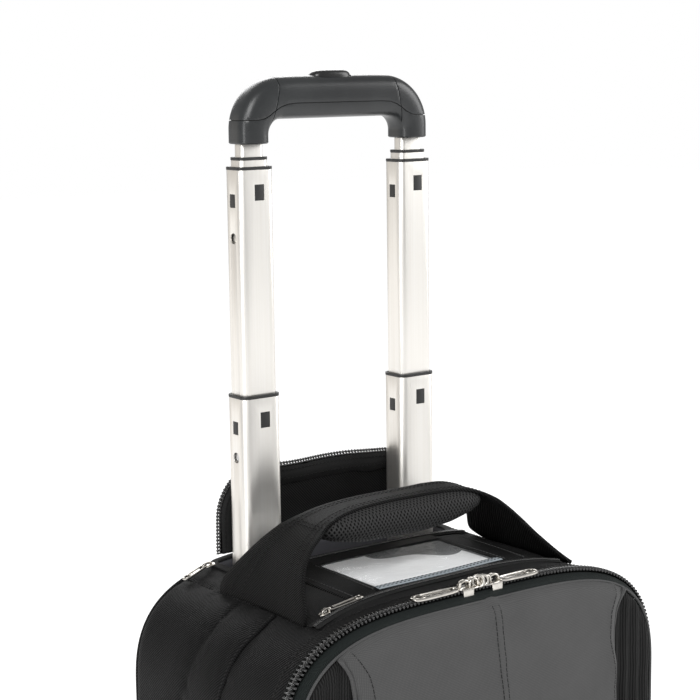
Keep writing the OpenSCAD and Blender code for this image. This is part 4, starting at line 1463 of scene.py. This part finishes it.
def pull_tab(node, body, hinge, along, out, length, width, thick):
    """A flat tab from its hinge: raised rim, sunk middle and an oval hole at each end."""
    across = out.cross(along).normalized()
    start = -3.5 * MM
    middle = (start + length) / 2
    half = (length - start) / 2
    taper = 0.86

    def place(a, b, c):
        narrow = 1 - (1 - taper) * (0.5 - a / (2 * half))
        return hinge + along * (middle + a) + across * b * narrow + out * c

    def ring(share_in, high):
        return [place(a, b, high) for a, b in superellipse(half - share_in, width / 2 - share_in, 3.6, 56)]

    rim = thick * 0.5
    sunk = thick * 0.12
    levels = ((0.5, -rim), (0.1, -rim * 0.7), (0.0, 0.0), (0.15, rim * 0.8), (0.6, rim), (1.2, rim),
              (1.6, rim * 0.8), (1.8, sunk), (2.6, sunk))
    rings = [ring(inset * MM, high) for inset, high in levels]
    obj = Pile().add(*loft(rings)).piece(node + "_tab", body, "nickel", replaces=(node,))
    cutters = []
    far_hole = half - width * 0.55
    for at, long, wide in ((far_hole, width * 0.34, width * 0.25), (4.2 * MM - half, 2.1 * MM, width * 0.3)):
        oval = superellipse(long, wide, 2.4, 28)
        ends = [[place(at + a, b, c * thick) for a, b in oval] for c in (-2, 2)]
        cutters.append(Pile().add(*loft(ends)).mesh("oval"))
    cut(obj, *cutters)
    bevel(obj, 0.25 * MM, 2, 50)
    apply_modifiers(obj)
    shade_by_angle(obj, 50)
    extra = Pile()
    oval = superellipse(width * 0.38, width * 0.29, 2.4, 33)
    lip = [place(far_hole + a, b, rim * 0.8) for a, b in oval]
    lip.append(lip[0])
    extra.add(*sweep(lip, [out] * len(lip), circle_section(0.45 * MM, 8), False))
    extra.piece(node + "_lip", body, "nickel")


def slider_plate(pile, centre, along, across, out, size, level, thick):
    """One plate of a slider: wide at its mouth and waisted behind it."""
    rings = []
    for share, grow in ((0.0, 0.9), (0.15, 1.0), (0.8, 1.0), (1.0, 0.9)):
        ring = []
        for i in range(36):
            t = 2 * math.pi * i / 36
            a = math.copysign(abs(math.cos(t)) ** 0.55, math.cos(t))
            b = math.copysign(abs(math.sin(t)) ** 0.6, math.sin(t)) * (1 - 0.3 * max(0.0, -a) ** 1.5)
            ring.append(centre + along * a * size[0] / 2 * grow + across * b * size[1] / 2 * grow
                        + out * (level + thick * share))
        rings.append(ring)
    pile.add(*loft(rings))


def slider_bridge(pile, centre, along, across, out, span, low, high, wide):
    """The arch over a slider that its tab hangs from."""
    path = []
    for i in range(19):
        t = math.pi * i / 18
        rise = low + (high - low) * math.sin(t) ** 0.55
        path.append(centre + along * span / 2 * math.cos(t) + out * rise)
    pile.add(*sweep(path, [across] * 19, superellipse(0.95 * MM, wide / 2, 3.2, 16)))


def wire_ring(pile, centre, normal, radius, wire):
    """A ring of round wire."""
    one = normal.orthogonal().normalized()
    two = normal.cross(one)
    path = [centre + (one * math.cos(a) + two * math.sin(a)) * radius
            for a in (2 * math.pi * i / 32 for i in range(33))]
    pile.add(*sweep(path, [normal] * 33, superellipse(wire, wire * 1.5, 2.6, 12), False))


def main_slider(pile, x, toward):
    """A main slider whose mouth points along toward, with side guides that wrap the chain."""
    centre = Vector((x, CHAIN_Y, top_height(x) + 0.2 * MM))
    along, across, out = Vector((toward, 0, 0)), Vector((0, 1, 0)), Vector((0, 0, 1))
    slider_plate(pile, centre, along, across, out, (18.5 * MM, 10.4 * MM), 1.9 * MM, 1.5 * MM)
    for side in (-1, 1):
        flange = [centre + across * side * 5.3 * MM + along * (a - 3) * MM + out * 0.2 * MM
                  for a in (-4.6, -4.2, 0, 4.2, 4.6)]
        pile.add(*sweep(flange, [across * side] * 5, superellipse(3.0 * MM, 0.7 * MM, 4.5, 16)))
    slider_bridge(pile, centre - along * 3.2 * MM, along, across, out, 9.5 * MM, 2.6 * MM, 8.2 * MM, 3.4 * MM)
    saddle = centre + along * 4.6 * MM
    slider_bridge(pile, saddle, along, across, out, 8.0 * MM, 2.6 * MM, 8.8 * MM, 5.6 * MM)


def make_sliders():
    """The sliders of the three zips with their tabs."""
    low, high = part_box("main_sliders")
    places = (low.x + 10 * MM, high.x - 10 * MM)
    pile = Pile()
    for x, toward in zip(places, (1, -1)):
        main_slider(pile, x, toward)
    nose = (places[0] + places[1]) / 2
    for dx, radius in ((-1.8 * MM, 4.2 * MM), (2.8 * MM, 3.6 * MM)):
        ring = Vector((nose + dx, CHAIN_Y - 1.8 * MM, top_height(nose) + 6.2 * MM))
        wire_ring(pile, ring, Vector((-0.5, -1, 0.2)).normalized(), radius, 1.05 * MM)
    pile.piece("main_slider_bodies", "case", "nickel", replaces=("main_sliders",))
    up = Vector((0, 0, 1))
    for node, body, joint, side in (("main_pull_left", "pull_left", "pull_left_hinge", -1),
                                    ("main_pull_right", "pull_right", "pull_right_hinge", 1)):
        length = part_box(node)[1].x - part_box(node)[0].x
        along = Vector((side, 0, 0))
        pull_tab(node, body, hinge_place(joint), along, up, length - 2.5 * MM, 12 * MM, 2.4 * MM)
    small = Pile()
    for node, body, joint, side, tilt, length in (
            ("window_pull", "pull_window", "pull_window_hinge", 1, 8, 27.5 * MM),
            ("well_pull", "pull_well", "pull_well_hinge", -1, 21, 18.5 * MM)):
        hinge = hinge_place(joint)
        turn = math.radians(tilt)
        along = Vector((side * math.cos(turn), 0, side * math.sin(turn)))
        out = Vector((-math.sin(turn), 0, math.cos(turn)))
        pull_tab(node, body, hinge, along, out, length, 7 * MM, 1.6 * MM)
        x = hinge.x - side * 6 * MM if side > 0 else hinge.x + 6.5 * MM
        place, out = top_place(x, hinge.y, 0.6 * MM)
        along = Vector((out.z, 0, -out.x)).normalized()
        across = Vector((0, 1, 0))
        slider_plate(small, place, along, across, out, (9 * MM, 6.6 * MM), 0.9 * MM, 0.9 * MM)
        arch = place + along * 2 * MM * side
        slider_bridge(small, arch, along, across, out, 7 * MM, 1.2 * MM, 3.7 * MM, 2.4 * MM)
    small.piece("small_slider_bodies", "case", "nickel", replaces=("small_sliders",))


# ---- Grip of the pull handle ----


def grip_curves(stations=26):
    """Matching (x, z) places, from foot to foot, along the grip's outer and inner outlines."""
    low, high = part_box("grip_lower_shell")
    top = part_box("grip_upper_shell")[1].z
    half, foot, leg_in, under = high.x, low.z, 62 * MM, 741 * MM
    outer_r, inner_r = 38 * MM, 12 * MM
    left = []
    for i in range(9):
        share = i / 8
        outer_z = foot + (top - outer_r - foot) * share
        inner_z = foot + (under - inner_r - foot) * share
        left.append(((-half, outer_z), (-leg_in, inner_z)))
    for i in range(1, stations + 1):
        a = math.radians(180 - 90 * i / stations)
        left.append(((outer_r - half + outer_r * math.cos(a), top - outer_r + outer_r * math.sin(a)),
                     (inner_r - leg_in + inner_r * math.cos(a), under - inner_r + inner_r * math.sin(a))))
    for i in range(1, 18):
        share = i / 18
        left.append(((-(half - outer_r) * (1 - share), top), (-(leg_in - inner_r) * (1 - share), under)))
    right = [((-ox, oz), (-ix, iz)) for (ox, oz), (ix, iz) in reversed(left)]
    return left + [((0, top), (0, under))] + right


def grip_loft(shrink=0.0):
    """The grip's whole body: its section carried from one foot to the other."""
    middle_y = sum(v.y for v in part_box("grip_upper_shell")) / 2
    depth = (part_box("grip_upper_shell")[1].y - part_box("grip_upper_shell")[0].y) / 2 - shrink
    rings = []
    curves = grip_curves()
    for (ox, oz), (ix, iz) in curves:
        outer, inner = Vector((ox, 0, oz)), Vector((ix, 0, iz))
        middle = (outer + inner) / 2
        reach = (outer - inner).length / 2 - shrink
        away = (outer - inner).normalized()
        hollow = -0.9 * MM * math.exp(-(middle.x / (52 * MM)) ** 6) * (away.z > 0.9)
        ring = []
        for a, b in superellipse(1.0, 1.0, 3.0, 44):
            swell = 1 - 0.05 * max(0.0, a) ** 2
            extra = -hollow * max(0.0, a) ** 3
            ring.append(middle + away * (a * reach + extra) + Vector((0, middle_y + b * depth * swell, 0)))
        rings.append(ring)
    for end, step in ((0, -1), (-1, 1)):
        ring = rings[end]
        centre = sum(ring, Vector()) / len(ring)
        smaller = [centre + (p - centre) * 0.95 for p in ring]
        for p in ring:
            p.z += 0.8 * MM
        if step < 0:
            rings.insert(0, smaller)
        else:
            rings.append(smaller)
    return loft(rings)


def ribbon_cutter(line, thick, y0, y1):
    """A thin wall that follows a line in the XZ plane, from y0 to y1."""
    left, right = [], []
    points = [Vector((x * MM, 0, z * MM)) for x, z in line]
    for p, t in zip(points, tangents(points)):
        side = Vector((-t.z, 0, t.x)) * thick / 2
        left.append(p + side)
        right.append(p - side)
    outline = [(p.x, p.z) for p in left + right[::-1]]
    return prism_mesh(outline, y0, y1, 1)


def make_grip():
    """The grip, its parting lines and its core."""
    low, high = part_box("grip_upper_shell")
    y0, y1 = low.y - 3 * MM, high.y + 3 * MM
    middle_y = (low.y + high.y) / 2
    obj = Pile().add(*grip_loft()).piece("grip_shells", "stage_d", "grip_plastic",
                                         replaces=("grip_lower_shell", "grip_upper_shell"))
    slit = 0.7 * MM
    rise = [(96, 741), (75, 741), (69, 742), (64, 744.3), (59, 747.6), (54, 750.4), (48, 752.2), (40, 752.8)]
    joint = [(-x, z) for x, z in rise] + rise[::-1]
    cut(obj, ribbon_cutter(joint, slit, y0, y1))
    for side in (-1, 1):
        line = [(side * 54, 780), (side * 55, 765), (side * 58, 751), (side * 62, 736)]
        cut(obj, ribbon_cutter(line, slit * 0.8, y0, y1))
    oval = [(a, middle_y + b) for a, b in superellipse(18.6 * MM, 8.6 * MM, 3, 48)]
    cut(obj, prism_mesh(oval, 756 * MM, 790 * MM, 2))
    bevel(obj, 0.35 * MM, 2, 40)
    apply_modifiers(obj)
    shade_by_angle(obj, 40)
    core = Pile().add(*grip_loft(1.3 * MM)).piece("grip_core", "stage_d", "collar_plastic")
    cut(core, prism_mesh(oval, 756 * MM, 790 * MM, 2))
    make_button(middle_y)


def make_button(middle_y):
    """The push button's domed cap."""
    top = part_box("push_button")[1].z
    foot = 760 * MM
    outline = superellipse(18 * MM, 8 * MM, 2.8, 56)
    rings = []
    for share, grow in ((0.0, 1.0), (0.6, 1.0), (0.72, 0.99), (0.8, 0.965), (0.87, 0.92), (0.93, 0.83),
                        (0.97, 0.68), (0.99, 0.45), (1.0, 0.15)):
        z = foot + (top - foot) * share
        rings.append([Vector((a * grow, middle_y + b * grow, z)) for a, b in outline])
    obj = Pile().add(*loft(rings)).piece("grip_button_cap", "button", "button_plastic",
                                         replaces=("push_button",))
    shade_by_angle(obj, 60)


# ---- Laptop sleeve inside ----


def make_sleeve():
    """The padded laptop sleeve and the strap that holds the laptop in it."""
    low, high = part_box("laptop_sleeve")
    size = high - low
    middle = (low + high) / 2
    rings = []
    profile = superellipse(size.x / 2 - 1 * MM, size.z / 2 - 1 * MM, 9, 90)
    stations = [(-1, 0.94 * inner) for inner in (0.3, 0.6, 0.85, 1.0)]
    stations += [(-0.8, 0.985), (-0.4, 1.0), (0.4, 1.0), (0.8, 0.985)]
    stations += [(1, 0.94 * inner) for inner in (1.0, 0.85, 0.6, 0.3)]
    for share, grow in stations:
        y = middle.y + share * (size.y / 2 - 1 * MM)
        rings.append([Vector((middle.x + a * grow, y, middle.z + b * grow)) for a, b in profile])
    obj = Pile().add(*loft(rings)).piece("laptop_sleeve_pad", "case", "grey_lining",
                                         replaces=("laptop_sleeve",))
    inflate(obj, 6 * MM, 3.0, 1.0 * MM)
    low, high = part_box("sleeve_strap")
    path = [Vector((0, low.y + 1.2 * MM, low.z + (high.z - low.z) * i / 24)) for i in range(25)]
    section = band_section(high.x - low.x - 1 * MM, 1.6 * MM)
    strap = Pile().add(*sweep(path, [Vector((0, -1, 0))] * len(path), section))
    strap.piece("sleeve_strap_webbing", "case", "webbing", replaces=("sleeve_strap",))


# ---- Parts kept as designed ----

HARD_PARTS = {
    "anodised_tube": ("tubes_a", "tubes_b", "tubes_c", "tubes_d"),
    "collar_plastic": ("collars_a", "collars_b", "collars_c", "channel_bezel", "base_tray"),
    "inner_plastic": ("glides_a", "glides_b", "channel_block", "back_board"),
    "raw_aluminium": ("pole_channels",),
    "steel": ("board_rivets", "axle_bolts", "lock_pin_a_left", "lock_pin_a_right", "lock_pin_b_left",
              "lock_pin_b_right", "release_rods", "button_spring", "bearings_left", "bearings_right"),
    "housing_plastic": ("wheel_housing_left", "wheel_housing_right", "back_rails"),
    "foot_rubber": ("front_feet",),
    "tyre": ("tyre_left", "tyre_right"),
    "hub_plastic": ("hub_left", "hub_right"),
}
EDGES = {"tubes_a": 0.15, "tubes_b": 0.15, "tubes_c": 0.15, "tubes_d": 0.15, "wheel_housing_left": 2.0,
         "wheel_housing_right": 2.0, "front_feet": 3.0, "back_rails": 0.8, "base_tray": 0.6}


def dress(node, slot):
    """Gives a designed part its material, fine rounded edges and smooth shading."""
    obj = NODES[node]
    mesh = obj.data
    mesh.materials.clear()
    mesh.materials.append(MATERIALS[slot])
    if "custom_normal" in mesh.attributes:
        mesh.attributes.remove(mesh.attributes["custom_normal"])
    smooth_shade(obj)
    weld = obj.modifiers.new("weld", "WELD")
    weld.merge_threshold = 0.02 * MM
    bevel(obj, EDGES.get(node, 0.3) * MM, 2, 30)
    obj.modifiers["bevel"].use_clamp_overlap = True
    split = obj.modifiers.new("crisp", "EDGE_SPLIT")
    split.split_angle = math.radians(32)


def dress_hard_parts():
    """Dresses every designed part that stays as it is."""
    for slot, nodes in HARD_PARTS.items():
        for node in nodes:
            dress(node, slot)


# ---- Everything ----

make_camera()
make_studio()
make_shell()
make_case_lining()
make_shell_seams()
make_bottom()
make_well()
make_main_zip()
make_lid()
make_pocket()
make_window()
make_trim()
make_carry()
make_flap()
make_sliders()
make_grip()
make_sleeve()
dress_hard_parts()
